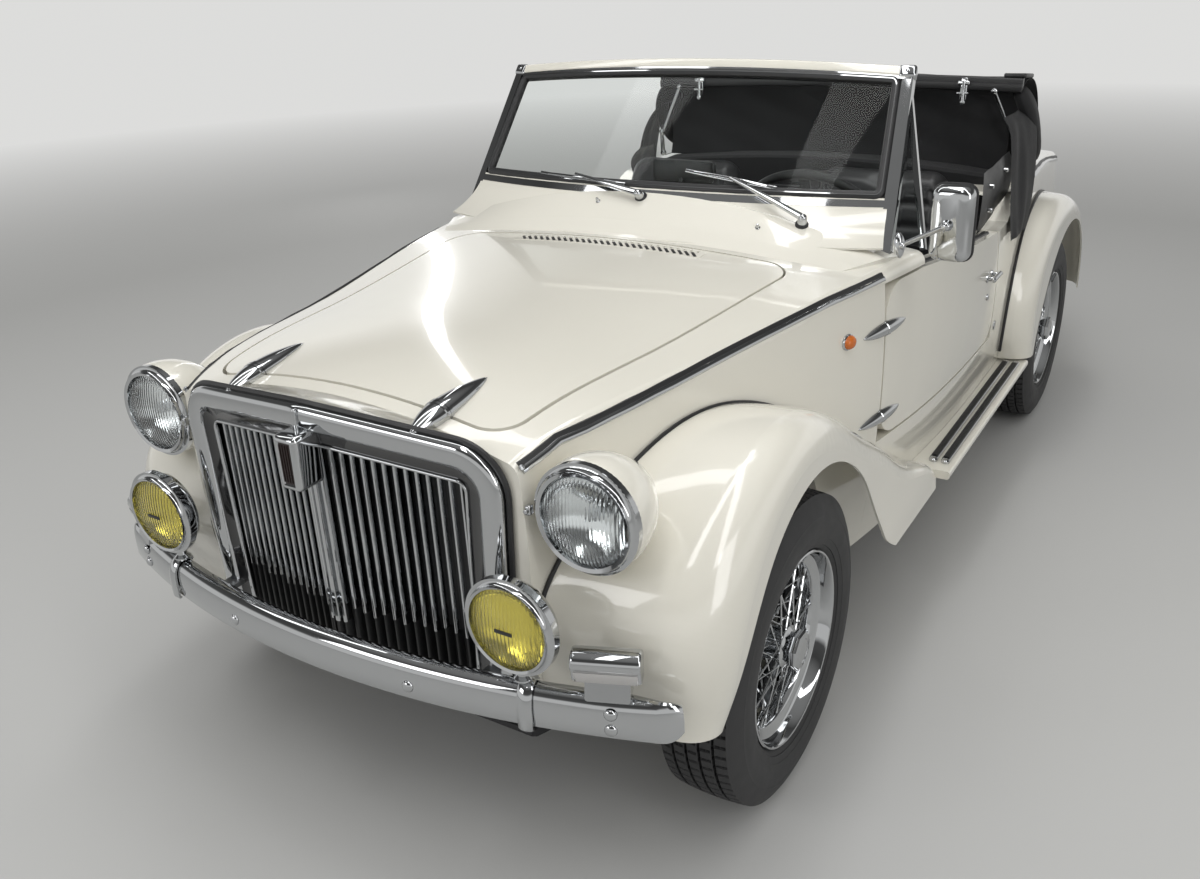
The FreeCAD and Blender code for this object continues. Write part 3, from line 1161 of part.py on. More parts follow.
# Door fittings: handle and hinge straps on the door, hinge leaves on the front body.
HINGE_Z = (711, 514)
strap_skin = body_loft(-8, -8, 8, mm("shoulder_radius") + 8, -8)


def strap(start_y, end_y, z):
    """Chrome strap, bent to the body side."""
    return largest(strap_skin.common(box((300, start_y, z - 12), (WIDE, end_y, z + 12))).cut(seat_skin))


def skin_x(y, z):
    """Half width of the outer skin at a point of the side."""
    probe = Part.LineSegment(Vector(0, y, z), Vector(900, y, z)).toShape().common(outer_skin)
    return probe.BoundBox.XMax


handle_x = max(skin_x(y, 648) for y in (50, 100, 150)) + SEAT
handle = rounded(box((handle_x, 50, 637), (handle_x + 26, 150, 659)), 8, edge_along("z"))
door_fittings = [handle] + [strap(mm("door_front_y") + 4, mm("door_front_y") + 92, z) for z in HINGE_Z]
shaped("door_fittings_left", Part.makeCompound(door_fittings))
shaped("door_fittings_right", Part.makeCompound([mirrored(item) for item in door_fittings]))
leaves = [strap(mm("door_front_y") - 88, mm("door_front_y") - GAP, z) for z in HINGE_Z]
shaped("hinge_leaves", Part.makeCompound(leaves + [mirrored(leaf) for leaf in leaves]))

# Every piece is checked before anything is written.
doc.recompute()
faults = []
for item in doc.Objects:
    if "Invalid" in item.State or "Error" in item.State:
        faults.append(f"{item.Label}: {item.State}")
for label, item in nodes.items():
    if item.Shape.isNull() or not item.Shape.isValid() or not item.Shape.Solids:
        faults.append(f"{label}: shape is not valid")
if faults:
    raise RuntimeError("; ".join(faults))

os.makedirs("parts", exist_ok=True)
for label, item in nodes.items():
    item.Shape.exportStep(f"parts/{label}.step")
    box_now = item.Shape.BoundBox
    print(f"{label:22s} solids {len(item.Shape.Solids):2d}  volume {item.Shape.Volume / 1e6:9.3f} l  "
          f"x {box_now.XMin:7.1f} {box_now.XMax:7.1f}  y {box_now.YMin:8.1f} {box_now.YMax:8.1f}  "
          f"z {box_now.ZMin:6.1f} {box_now.ZMax:6.1f}")
print(len(nodes), "pieces")
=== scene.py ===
# %% [markdown]
# This lesson dresses a small two-seat roadster with separate fenders, a V grille and wire wheels.
# The metal bodywork arrives as a fixed frame from the construction model, in metres, so nothing is
# fitted by eye. The cells below give each panel its finish and add the pieces that give the car its look.

import math

import bmesh
import bpy
from mathutils import Matrix, Vector


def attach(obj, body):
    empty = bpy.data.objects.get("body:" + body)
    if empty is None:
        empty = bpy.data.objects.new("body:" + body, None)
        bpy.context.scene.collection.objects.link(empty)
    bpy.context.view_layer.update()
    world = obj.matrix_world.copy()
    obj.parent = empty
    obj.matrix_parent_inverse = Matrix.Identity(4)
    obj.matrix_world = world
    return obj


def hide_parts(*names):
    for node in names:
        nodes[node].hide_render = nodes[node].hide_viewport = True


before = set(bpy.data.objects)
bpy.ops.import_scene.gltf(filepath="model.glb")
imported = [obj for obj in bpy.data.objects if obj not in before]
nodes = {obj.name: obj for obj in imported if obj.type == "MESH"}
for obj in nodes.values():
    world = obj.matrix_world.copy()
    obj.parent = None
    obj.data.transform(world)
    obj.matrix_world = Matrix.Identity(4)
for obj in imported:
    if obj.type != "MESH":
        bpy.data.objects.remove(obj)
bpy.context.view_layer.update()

# %% [markdown]
# The camera repeats the photograph's viewpoint. Its place and angles were solved from matching left and
# right points of the car, so they are real sizes in the frame of the car: the lens stands about 1.4 m
# above the floor, ahead of the left headlamp.

# %% Camera at the photograph's viewpoint
CAMERA_SPOT = Vector((1.213, -2.671, 1.41))
CAMERA_TURN = math.radians(32.86)
CAMERA_DIP = math.radians(23.83)
CAMERA_ROLL = math.radians(-2.83)
CAMERA_LENS_MM = 31.8


def camera_matrix():
    """World matrix of the camera from its turn about Z, its dip below level and its roll."""
    back = Vector((math.sin(CAMERA_TURN) * math.cos(CAMERA_DIP),
                   -math.cos(CAMERA_TURN) * math.cos(CAMERA_DIP), math.sin(CAMERA_DIP)))
    right = Vector((0, 0, 1)).cross(back).normalized()
    up = back.cross(right)
    level = Matrix((right, up, back)).transposed().to_4x4()
    return Matrix.Translation(CAMERA_SPOT) @ level @ Matrix.Rotation(CAMERA_ROLL, 4, "Z")


camera = bpy.data.objects.new("camera", bpy.data.cameras.new("camera"))
bpy.context.scene.collection.objects.link(camera)
camera.data.sensor_width = 36.0
camera.data.lens = CAMERA_LENS_MM
camera.data.clip_start = 0.05
camera.matrix_world = camera_matrix()
bpy.context.scene.camera = camera
print("camera at", tuple(round(v, 3) for v in CAMERA_SPOT))

# %% [markdown]
# The stage is a plain pale floor under soft studio light. A pale backdrop stands round it, and the camera,
# the metal and the glass all see it. Above the backdrop the ceiling is dark, so that chrome shows its
# curves. Three long lamps hang above the car, as the hall lights do. One at the side, one in front and a
# thin one behind open the shadows.

# %% Stage and light
FLOOR_SIZE = 60.0
HAZE_NEAR, HAZE_FAR = 4.0, 11.0
PALE = (0.52, 0.52, 0.51, 1.0)
PALE_WALL = (0.72, 0.72, 0.71, 1.0)


def node_of(tree, kind, **values):
    """Adds a shader node and sets its properties, or its sockets where the name is a socket."""
    made = tree.nodes.new(kind)
    for name, value in values.items():
        if name in made.inputs:
            made.inputs[name].default_value = value
        else:
            setattr(made, name, value)
    return made


def seen_rays(tree):
    """A node that is 1 for camera, glossy and transmission rays, so metal and glass see the backdrop."""
    path = node_of(tree, "ShaderNodeLightPath")
    mirrored = node_of(tree, "ShaderNodeMath", operation="MAXIMUM")
    seen = node_of(tree, "ShaderNodeMath", operation="MAXIMUM")
    tree.links.new(path.outputs["Is Glossy Ray"], mirrored.inputs[0])
    tree.links.new(path.outputs["Is Transmission Ray"], mirrored.inputs[1])
    tree.links.new(path.outputs["Is Camera Ray"], seen.inputs[0])
    tree.links.new(mirrored.outputs[0], seen.inputs[1])
    return seen


def stage_floor():
    """Wide floor that fades into the haze of the backdrop."""
    bm = bmesh.new()
    bmesh.ops.create_grid(bm, x_segments=1, y_segments=1, size=FLOOR_SIZE)
    mesh = bpy.data.meshes.new("floor")
    bm.to_mesh(mesh)
    bm.free()
    floor = bpy.data.objects.new("floor", mesh)
    bpy.context.scene.collection.objects.link(floor)
    mat = bpy.data.materials.new("floor")
    mat.use_nodes = True
    shader = mat.node_tree.nodes["Principled BSDF"]
    shader.inputs["Base Color"].default_value = PALE
    shader.inputs["Roughness"].default_value = 0.75
    mesh.materials.append(mat)
    tree = mat.node_tree
    spot = node_of(tree, "ShaderNodeTexCoord")
    reach = node_of(tree, "ShaderNodeVectorMath", operation="LENGTH")
    far = node_of(tree, "ShaderNodeMapRange")
    far.inputs["From Min"].default_value, far.inputs["From Max"].default_value = HAZE_NEAR, HAZE_FAR
    seen = seen_rays(tree)
    share = node_of(tree, "ShaderNodeMath", operation="MULTIPLY")
    haze = node_of(tree, "ShaderNodeEmission", Color=PALE_WALL, Strength=1.0)
    mix = node_of(tree, "ShaderNodeMixShader")
    tree.links.new(spot.outputs["Object"], reach.inputs[0])
    tree.links.new(reach.outputs["Value"], far.inputs["Value"])
    tree.links.new(far.outputs["Result"], share.inputs[0])
    tree.links.new(seen.outputs[0], share.inputs[1])
    tree.links.new(share.outputs[0], mix.inputs[0])
    tree.links.new(shader.outputs[0], mix.inputs[1])
    tree.links.new(haze.outputs[0], mix.inputs[2])
    tree.links.new(mix.outputs[0], tree.nodes["Material Output"].inputs["Surface"])


# height of the direction above the horizon, brightness: the light of the room, and the backdrop with
# the dark ceiling above it that metal and glass mirror
ROOM_LIGHT = ((0.0, 0.3), (0.3, 0.3), (0.7, 0.5), (1.0, 0.6))
BACKDROP = ((0.0, 0.72), (0.24, 0.72), (0.36, 0.1), (0.62, 0.07), (0.8, 0.22), (1.0, 0.3))


def studio_world():
    """Soft light of the room, and the backdrop that metal and glass mirror."""
    world = bpy.data.worlds.new("studio")
    bpy.context.scene.world = world
    world.use_nodes = True
    tree = world.node_tree
    tree.nodes.clear()
    out = node_of(tree, "ShaderNodeOutputWorld")
    room = node_of(tree, "ShaderNodeBackground", Strength=1.0)
    backdrop = node_of(tree, "ShaderNodeBackground", Strength=1.0)
    way = node_of(tree, "ShaderNodeTexCoord")
    parts = node_of(tree, "ShaderNodeSeparateXYZ")
    tree.links.new(way.outputs["Generated"], parts.inputs[0])
    for shader, stops in ((room, ROOM_LIGHT), (backdrop, BACKDROP)):
        ramp = node_of(tree, "ShaderNodeValToRGB")
        band = ramp.color_ramp
        band.elements[0].position, band.elements[1].position = stops[0][0], stops[-1][0]
        for place, _ in stops[1:-1]:
            band.elements.new(place)
        for stop, (_, level) in zip(band.elements, stops):
            stop.color = (level, level, level * 0.985, 1)
        tree.links.new(parts.outputs["Z"], ramp.inputs["Fac"])
        tree.links.new(ramp.outputs["Color"], shader.inputs["Color"])
    mix = node_of(tree, "ShaderNodeMixShader")
    tree.links.new(seen_rays(tree).outputs[0], mix.inputs[0])
    tree.links.new(room.outputs[0], mix.inputs[1])
    tree.links.new(backdrop.outputs[0], mix.inputs[2])
    tree.links.new(mix.outputs[0], out.inputs["Surface"])


# name, place, aim, width, length, watts
LAMPS = (
    ("near strip", (1.6, -1.4, 4.0), (0.4, -0.4, 0.4), 0.55, 5.2, 34),
    ("middle strip", (0.2, -1.2, 4.2), (0.0, -0.2, 0.4), 0.55, 5.2, 34),
    ("far strip", (-1.3, -0.8, 4.0), (-0.3, 0.0, 0.4), 0.55, 5.2, 26),
    ("side", (4.2, -2.4, 2.2), (0.2, -0.3, 0.5), 1.4, 2.8, 34),
    ("front", (-1.6, -5.0, 2.4), (0.0, -1.0, 0.6), 2.4, 1.2, 30),
    ("back strip", (-3.4, 2.4, 2.6), (0.0, 0.4, 0.5), 0.16, 4.6, 7),
)


def studio_lamps():
    """The area lamps of the table above."""
    for name, spot, aim, width, length, watts in LAMPS:
        data = bpy.data.lights.new(name, "AREA")
        data.shape = "RECTANGLE"
        data.size, data.size_y, data.energy = width, length, watts
        lamp = bpy.data.objects.new(name, data)
        lamp.location = spot
        lamp.rotation_euler = (Vector(aim) - Vector(spot)).to_track_quat("-Z", "Y").to_euler()
        bpy.context.scene.collection.objects.link(lamp)
    print("lamps:", [row[0] for row in LAMPS])


stage_floor()
studio_world()
studio_lamps()
bpy.context.scene.view_settings.view_transform = "Standard"

# %% [markdown]
# Every finish starts from one shader. What is the same all over a surface is set on the shader's own
# sockets, and noise in Object coordinates gives the small changes of gloss and relief that real enamel,
# chrome, rubber and cloth have. Scales are per metre, so a scale of 400 is a grain of 2.5 mm.

# %% Helper: a finish from one shader, with noise for gloss and relief
finishes = {}


def finish(name, color, rough, metal=0.0, coat=0.0, gloss_noise=(40.0, 0.03), relief=(400.0, 0.02, 0.001),
           tint=0.04, **sockets):
    """Makes a material. relief is (scale, strength, depth in metres); gloss_noise is (scale, spread)."""
    mat = bpy.data.materials.new(name)
    mat.use_nodes = True
    tree = mat.node_tree
    shader = tree.nodes["Principled BSDF"]
    shader.inputs["Metallic"].default_value = metal
    shader.inputs["Coat Weight"].default_value = coat
    for socket, value in sockets.items():
        shader.inputs[socket.replace("_", " ")].default_value = value
    spot = node_of(tree, "ShaderNodeTexCoord")
    wide = node_of(tree, "ShaderNodeTexNoise", Scale=gloss_noise[0], Detail=3.0)
    tree.links.new(spot.outputs["Object"], wide.inputs["Vector"])
    gloss = node_of(tree, "ShaderNodeMapRange")
    gloss.inputs["To Min"].default_value = max(rough - gloss_noise[1], 0.0)
    gloss.inputs["To Max"].default_value = rough + gloss_noise[1]
    tree.links.new(wide.outputs["Fac"], gloss.inputs["Value"])
    tree.links.new(gloss.outputs["Result"], shader.inputs["Roughness"])
    shade = node_of(tree, "ShaderNodeMix", data_type="RGBA")
    shade.inputs[6].default_value = tuple(c * (1 - tint) for c in color[:3]) + (1,)
    shade.inputs[7].default_value = tuple(min(c * (1 + tint), 1) for c in color[:3]) + (1,)
    tree.links.new(wide.outputs["Fac"], shade.inputs[0])
    tree.links.new(shade.outputs[2], shader.inputs["Base Color"])
    fine = node_of(tree, "ShaderNodeTexNoise", Scale=relief[0], Detail=4.0)
    tree.links.new(spot.outputs["Object"], fine.inputs["Vector"])
    bump = node_of(tree, "ShaderNodeBump", Strength=relief[1], Distance=relief[2])
    tree.links.new(fine.outputs["Fac"], bump.inputs["Height"])
    tree.links.new(bump.outputs["Normal"], shader.inputs["Normal"])
    finishes[name] = mat
    return mat


# %% Paint, chrome, rubber, cloth, glass and dark metal
ivory = finish("ivory_enamel", (0.8, 0.775, 0.69), 0.16, coat=1.0, gloss_noise=(6.0, 0.03),
               relief=(160.0, 0.03, 0.0006), tint=0.012, Coat_Roughness=0.03)
chrome = finish("chrome", (0.53, 0.54, 0.55), 0.05, metal=1.0, gloss_noise=(30.0, 0.03),
                relief=(60.0, 0.03, 0.0006), tint=0.02)
dull_steel = finish("dull_steel", (0.42, 0.43, 0.44), 0.34, metal=1.0, gloss_noise=(80.0, 0.08))
black_rubber = finish("black_rubber", (0.022, 0.022, 0.023), 0.42, gloss_noise=(60.0, 0.1))
tyre_rubber = finish("tyre_rubber", (0.03, 0.03, 0.031), 0.62, gloss_noise=(30.0, 0.12),
                     relief=(700.0, 0.2, 0.0008), tint=0.15)
black_vinyl = finish("black_vinyl", (0.02, 0.02, 0.021), 0.38, gloss_noise=(25.0, 0.08),
                     relief=(900.0, 0.35, 0.0006))
black_cloth = finish("black_cloth", (0.01, 0.01, 0.011), 0.85, gloss_noise=(60.0, 0.08),
                     relief=(1200.0, 0.5, 0.0008), tint=0.2, Sheen_Weight=0.1, Sheen_Roughness=0.4)
underseal = finish("underseal", (0.03, 0.03, 0.032), 0.8, gloss_noise=(20.0, 0.1),
                   relief=(250.0, 0.5, 0.002), tint=0.2)
cast_iron = finish("cast_iron", (0.1, 0.1, 0.105), 0.62, metal=0.6, relief=(300.0, 0.5, 0.0015))
grille_black = finish("grille_black", (0.012, 0.012, 0.013), 0.45)
clear_glass = finish("clear_glass", (0.93, 0.96, 0.95), 0.02, gloss_noise=(4.0, 0.01),
                     relief=(6.0, 0.01, 0.001), tint=0.005, Transmission_Weight=1.0, IOR=1.16)
lamp_glass = finish("lamp_glass", (0.96, 0.97, 0.97), 0.04, relief=(40.0, 0.1, 0.001), tint=0.005,
                    Transmission_Weight=1.0, IOR=1.45)
amber_glass = finish("amber_glass", (1.0, 0.9, 0.34), 0.04, tint=0.03, relief=(60.0, 0.01, 0.0005),
                     Transmission_Weight=0.92, IOR=1.45)
red_glass = finish("red_glass", (0.62, 0.02, 0.02), 0.1, Transmission_Weight=0.35, IOR=1.45)
orange_glass = finish("orange_glass", (0.8, 0.2, 0.03), 0.14, Transmission_Weight=0.3, IOR=1.45)
mirror_glass = finish("mirror_glass", (0.88, 0.89, 0.9), 0.02, metal=1.0, gloss_noise=(5.0, 0.01))
gloss_black = finish("gloss_black", (0.012, 0.012, 0.013), 0.12, coat=0.6, gloss_noise=(20.0, 0.03))
dark_plate = finish("dark_plate", (0.022, 0.012, 0.011), 0.28, metal=0.2)
reflector = finish("lamp_reflector", (0.9, 0.91, 0.92), 0.1, metal=1.0, relief=(90.0, 0.01, 0.0004),
                   tint=0.01)
smoked_glass = finish("smoked_glass", (0.58, 0.57, 0.56), 0.1, metal=0.5, relief=(90.0, 0.06, 0.001),
                      coat=0.8)
print("finishes:", len(finishes))

# %% [markdown]
# Moulded flutes spread a lamp's light sideways. A wave texture in Object coordinates gives their relief,
# because the flutes run straight up the glass whatever its dome does.

# %% Helper: flutes across a lamp glass
def fluted(mat, period, depth):
    """Adds upright flutes of a period across X to the relief of a glass."""
    tree = mat.node_tree
    bump = next(item for item in tree.nodes if item.bl_idname == "ShaderNodeBump")
    spot = next(item for item in tree.nodes if item.bl_idname == "ShaderNodeTexCoord")
    wave = node_of(tree, "ShaderNodeTexWave", wave_type="BANDS", bands_direction="X")
    wave.inputs["Scale"].default_value = math.tau / (20 * period)
    ribs = node_of(tree, "ShaderNodeBump", Strength=1.0, Distance=depth)
    tree.links.new(spot.outputs["Object"], wave.inputs["Vector"])
    tree.links.new(wave.outputs["Fac"], ribs.inputs["Height"])
    tree.links.new(bump.outputs["Normal"], ribs.inputs["Normal"])
    tree.links.new(ribs.outputs["Normal"], tree.nodes["Principled BSDF"].inputs["Normal"])
    return mat


fluted_glass = fluted(finish("fluted_glass", (0.95, 0.97, 0.97), 0.03, relief=(60.0, 0.01, 0.0005),
                             tint=0.005, Transmission_Weight=1.0, IOR=1.45), 0.0062, 0.0005)
fluted(amber_glass, 0.0068, 0.0006)
print("fluted:", fluted_glass.name, amber_glass.name)

# %% [markdown]
# The panels keep the shape that the construction model gives them. Their finish goes on the material
# slot.

# %% Finishes of the carried-over pieces
NODE_FINISH = {
    ivory: ("hood_lid", "engine_lid", "front_body", "rear_body", "sills", "door_left", "door_right",
            "fender_front_left", "fender_front_right", "fender_rear_left", "fender_rear_right",
            "running_boards", "lamp_shells"),
    chrome: ("grille_shell", "grille_bars", "front_bumper", "rear_bumper", "turn_lamps", "lamp_rims",
             "windscreen_frame", "wipers", "door_fittings_left", "door_fittings_right", "hinge_leaves",
             "wheel_front_left", "wheel_front_right", "wheel_rear_left", "wheel_rear_right", "mirrors"),
    black_rubber: ("steering_wheel", "steering_column", "soft_top_frame"),
    black_vinyl: ("dashboard", "seats"),
    black_cloth: ("soft_top",),
    clear_glass: ("windscreen_glass",),
    lamp_glass: ("headlamp_lenses",),
    amber_glass: ("fog_lenses",),
    red_glass: ("tail_lamps",),
    tyre_rubber: ("tyre_front_left", "tyre_front_right", "tyre_rear_left", "tyre_rear_right"),
    underseal: ("floor_pan", "toe_board", "seat_bulkhead", "rear_suspension", "front_suspension",
                "exhaust"),
    dull_steel: ("knuckle_left", "knuckle_right"),
    cast_iron: ("engine_block",),
}


def put_on(obj, mat):
    """Gives every slot of an object one finish."""
    if not obj.data.materials:
        obj.data.materials.append(mat)
    for index in range(len(obj.data.materials)):
        obj.data.materials[index] = mat


for mat, names in NODE_FINISH.items():
    for name in names:
        put_on(nodes[name], mat)
print("dressed:", sum(len(names) for names in NODE_FINISH.values()), "of", len(nodes))

# %% [markdown]
# Most trims of a car are one of three things: a bar drawn along a path, a form turned on a lathe, or a
# block with rolled edges. Three helpers make them with bmesh operators. The sweep extrudes a ring of
# edges from place to place, so a bumper, a seal and a wiper arm all come from the same few lines.

# %% Helper: a finished piece on its body
from mathutils.bvhtree import BVHTree


def piece(name, bm, mat, body, slot, sharp=38.0):
    """Turns a bmesh into an object with one finish, riding on a body of the frame."""
    bmesh.ops.recalc_face_normals(bm, faces=bm.faces)
    mesh = bpy.data.meshes.new(name)
    bm.to_mesh(mesh)
    bm.free()
    mesh.polygons.foreach_set("use_smooth", [True] * len(mesh.polygons))
    mesh.set_sharp_from_angle(angle=math.radians(sharp))
    obj = bpy.data.objects.new(name, mesh)
    bpy.context.scene.collection.objects.link(obj)
    mesh.materials.append(mat)
    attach(obj, body)
    print(name, "faces:", len(mesh.polygons))
    return obj


# %% Helper: places along a path, and a sweep of a section along them
UP, AHEAD, REARWARD = Vector((0, 0, 1)), Vector((0, -1, 0)), Vector((0, 1, 0))


def places_along(path, ups, closed):
    """A matrix for each point of a path: X across it, Y up from it and Z along it."""
    places = []
    for index, spot in enumerate(path):
        before = path[index - 1] if index > 0 or closed else spot
        after = path[(index + 1) % len(path)] if index + 1 < len(path) or closed else spot
        along = (after - before).normalized()
        up = ups[index] if isinstance(ups, list) else ups
        across = along.cross(up).normalized()
        turn = Matrix((across, across.cross(along), along)).transposed().to_4x4()
        places.append(Matrix.Translation(spot) @ turn)
    return places


def sweep(bm, path, section, ups=UP, closed=False, sizes=None, ring=True):
    """Draws a section of (across, up) points along a path. sizes scales it at each point."""
    places = places_along(path, ups, closed)
    if sizes:
        places = [place @ Matrix.Diagonal((size[0], size[1], 1, 1)) for place, size in zip(places, sizes)]
    verts = [bm.verts.new(places[0] @ Vector((a, b, 0))) for a, b in section]
    pairs = zip(verts, verts[1:] + verts[:1]) if ring else zip(verts, verts[1:])
    edges = [bm.edges.new(pair) for pair in pairs]
    first = list(edges)
    for last, place in zip(places, places[1:]):
        made = bmesh.ops.extrude_edge_only(bm, edges=edges)["geom"]
        edges = [item for item in made if isinstance(item, bmesh.types.BMEdge)]
        moved = [item for item in made if isinstance(item, bmesh.types.BMVert)]
        bmesh.ops.transform(bm, matrix=place @ last.inverted(), verts=moved)
    if closed:
        bmesh.ops.bridge_loops(bm, edges=first + edges)
    elif ring:
        bmesh.ops.edgeloop_fill(bm, edges=first)
        bmesh.ops.edgeloop_fill(bm, edges=edges)


def round_section(radius, count=8):
    """Points of a small circle for cords, seals and rods."""
    return [(radius * math.cos(math.tau * k / count), radius * math.sin(math.tau * k / count))
            for k in range(count)]


# %% Helper: turned forms and blocks with rolled edges
def facing(spot, way, up=UP):
    """Matrix that sets local Z along 'way' and local Y towards 'up' at a spot."""
    way = Vector(way).normalized()
    across = Vector(up).cross(way).normalized()
    turn = Matrix((across, way.cross(across), way)).transposed().to_4x4()
    return Matrix.Translation(spot) @ turn


def fresh(bm, old):
    """The vertices that were made since 'old' was taken."""
    return [vert for vert in bm.verts if vert not in old]


def lathe(bm, outline, place, steps=64):
    """Turns an outline of (depth, radius) about the local Z of a place."""
    old = set(bm.verts)
    verts = [bm.verts.new((radius, 0, depth)) for depth, radius in outline]
    edges = [bm.edges.new(pair) for pair in zip(verts, verts[1:])]
    bmesh.ops.spin(bm, geom=verts + edges, cent=(0, 0, 0), axis=(0, 0, 1), angle=math.tau, steps=steps,
                   use_merge=True)
    bmesh.ops.remove_doubles(bm, verts=fresh(bm, old), dist=1e-6)
    bmesh.ops.transform(bm, matrix=place, verts=fresh(bm, old))


def block(bm, size, place, roll=0.0, segments=3, foot=1.0):
    """Block of a size at a place, with rolled edges; foot scales its lower end."""
    old = set(bm.verts)
    bmesh.ops.create_cube(bm, size=1.0, matrix=Matrix.Diagonal((*size, 1)))
    for vert in fresh(bm, old):
        if vert.co.y < 0:
            vert.co.x *= foot
    if roll:
        edges = {edge for vert in fresh(bm, old) for edge in vert.link_edges}
        bmesh.ops.bevel(bm, geom=list(edges), offset=roll, offset_type="OFFSET", affect="EDGES",
                        segments=segments, profile=0.5, material=-1)
    bmesh.ops.transform(bm, matrix=place, verts=fresh(bm, old))


SIDES = (("left", 1), ("right", -1))


def both_sides(bm):
    """Adds the mirror image on the other side of the car."""
    geom = list(bm.verts) + list(bm.edges) + list(bm.faces)
    bmesh.ops.mirror(bm, geom=geom, axis="X", merge_dist=1e-6)


def onto_side(bm, sign):
    """Turns what was made on the left side over to the right one where sign is -1."""
    if sign < 0:
        bmesh.ops.scale(bm, vec=(-1, 1, 1), verts=bm.verts)


def paired(name, bm, mat, slot, **options):
    """One fixed piece of the left side's parts and their mirror images."""
    both_sides(bm)
    return piece(name, bm, mat, "body", slot, **options)


def rod(bm, start, end, radius, sides=10):
    """Round rod between two points."""
    start, end = Vector(start), Vector(end)
    way = (end - start).normalized()
    up = Vector((1, 0, 0)) if abs(way.z) > 0.9 else UP
    sweep(bm, [start, end], round_section(radius, sides), up)


# %% [markdown]
# Trims lie on the bodywork, so their height above it has to be right to a millimetre. A ray is cast at
# the carried-over mesh from outside, which gives the point and the normal of the enamel there.

# %% Helper: points on the enamel
skins = {}
OUTSIDE_X, BEHIND_Y, ABOVE_Z = 0.9, 2.2, 1.6


def on_skin(name, start, way):
    """Point and normal where a ray meets a carried-over piece, or None."""
    if name not in skins:
        bm = bmesh.new()
        bm.from_mesh(nodes[name].data)
        skins[name] = BVHTree.FromBMesh(bm)
        bm.free()
    spot, normal, _, _ = skins[name].ray_cast(Vector(start), Vector(way).normalized())
    if spot is None:
        return None
    return spot, normal if normal.dot(Vector(way)) < 0 else -normal


def side_point(name, y, z):
    """Point and normal on the left side of a piece."""
    return on_skin(name, (OUTSIDE_X, y, z), (-1, 0, 0))


def top_point(name, x, y):
    """Point and normal on the top of a piece."""
    return on_skin(name, (x, y, ABOVE_Z), (0, 0, -1))


print("helpers ready; left side at the door:", side_point("front_body", -0.9, 0.7)[0].x)

# %% [markdown]
# The front bumper is a pressed and plated steel blade: an upright face with a fat rolled top that folds
# back. A swept section shows both. It follows the same plan as the blade in the frame, a wide bow with
# tighter ends, and the fold narrows near the ends to clear the fenders.

# %% Bumpers: plan of the blade
BOW, BEND, END_X, BLADE_TURN = 1.75, 0.08, 0.628, math.radians(50)
BLADE_Y = {-1: -1.705, 1: 1.705}
BLADE_TIP_X, BLADE_MIDDLE_Z, STRAP_X, IRON_X = 0.604, 0.405, 0.402, 0.3
# x of each bolt, and the heights of the bolts there
BOLTS = ((0.2, (0.398,)), (0.53, (0.39, 0.417)))


def blade_path(side):
    """Front line of the blade from right to left in plan; side is -1 at the front of the car."""
    half = math.asin((END_X - BEND * math.sin(BLADE_TURN)) / (BOW - BEND))
    centre_y = BLADE_Y[side] - side * BOW
    join = Vector((BOW * math.sin(half), centre_y + side * BOW * math.cos(half), 0))
    hub = join - Vector((math.sin(half), side * math.cos(half), 0)) * BEND
    left = []
    for step in range(1, 21):
        angle = half * step / 20
        left.append(Vector((BOW * math.sin(angle), centre_y + side * BOW * math.cos(angle), 0)))
    for step in range(1, 9):
        angle = half + (BLADE_TURN - half) * step / 8
        left.append(hub + Vector((math.sin(angle), side * math.cos(angle), 0)) * BEND)
    right = [Vector((-spot.x, spot.y, 0)) for spot in reversed(left)]
    return right + [Vector((0, BLADE_Y[side], 0))] + left


# outward, up: the outside of the blade from its foot over the rolled top to the fold's edge
BLADE_OUTSIDE = [(-0.001, 0.375), (0.0, 0.377), (0.0, 0.4), (-0.0005, 0.412), (-0.0025, 0.4235),
                 (-0.007, 0.4325), (-0.014, 0.4382), (-0.022, 0.44), (-0.03, 0.4385), (-0.035, 0.4345)]
BLADE_INSIDE = [(-0.034, 0.4315), (-0.029, 0.4345), (-0.022, 0.436), (-0.015, 0.4345), (-0.0095, 0.43),
                (-0.0055, 0.4215), (-0.004, 0.411), (-0.0035, 0.399), (-0.0035, 0.377), (-0.0028, 0.3755)]


def blade_sizes(path):
    """Fold of the blade at each point, narrower towards the ends."""
    return [(1.0 - 0.62 * max(0.0, (abs(spot.x) - 0.545) / (END_X - 0.545)), 1.0) for spot in path]


# %% Bumpers: blade, straps and bolts
def blade_spot(side, x, out=0.0, z=0.0):
    """Point on the plan of a blade with the outward direction there."""
    angle = math.asin(x / BOW)
    way = Vector((math.sin(angle), side * math.cos(angle), 0))
    centre = Vector((0, BLADE_Y[side] - side * BOW, 0))
    return centre + way * (BOW + out) + Vector((0, 0, z)), way


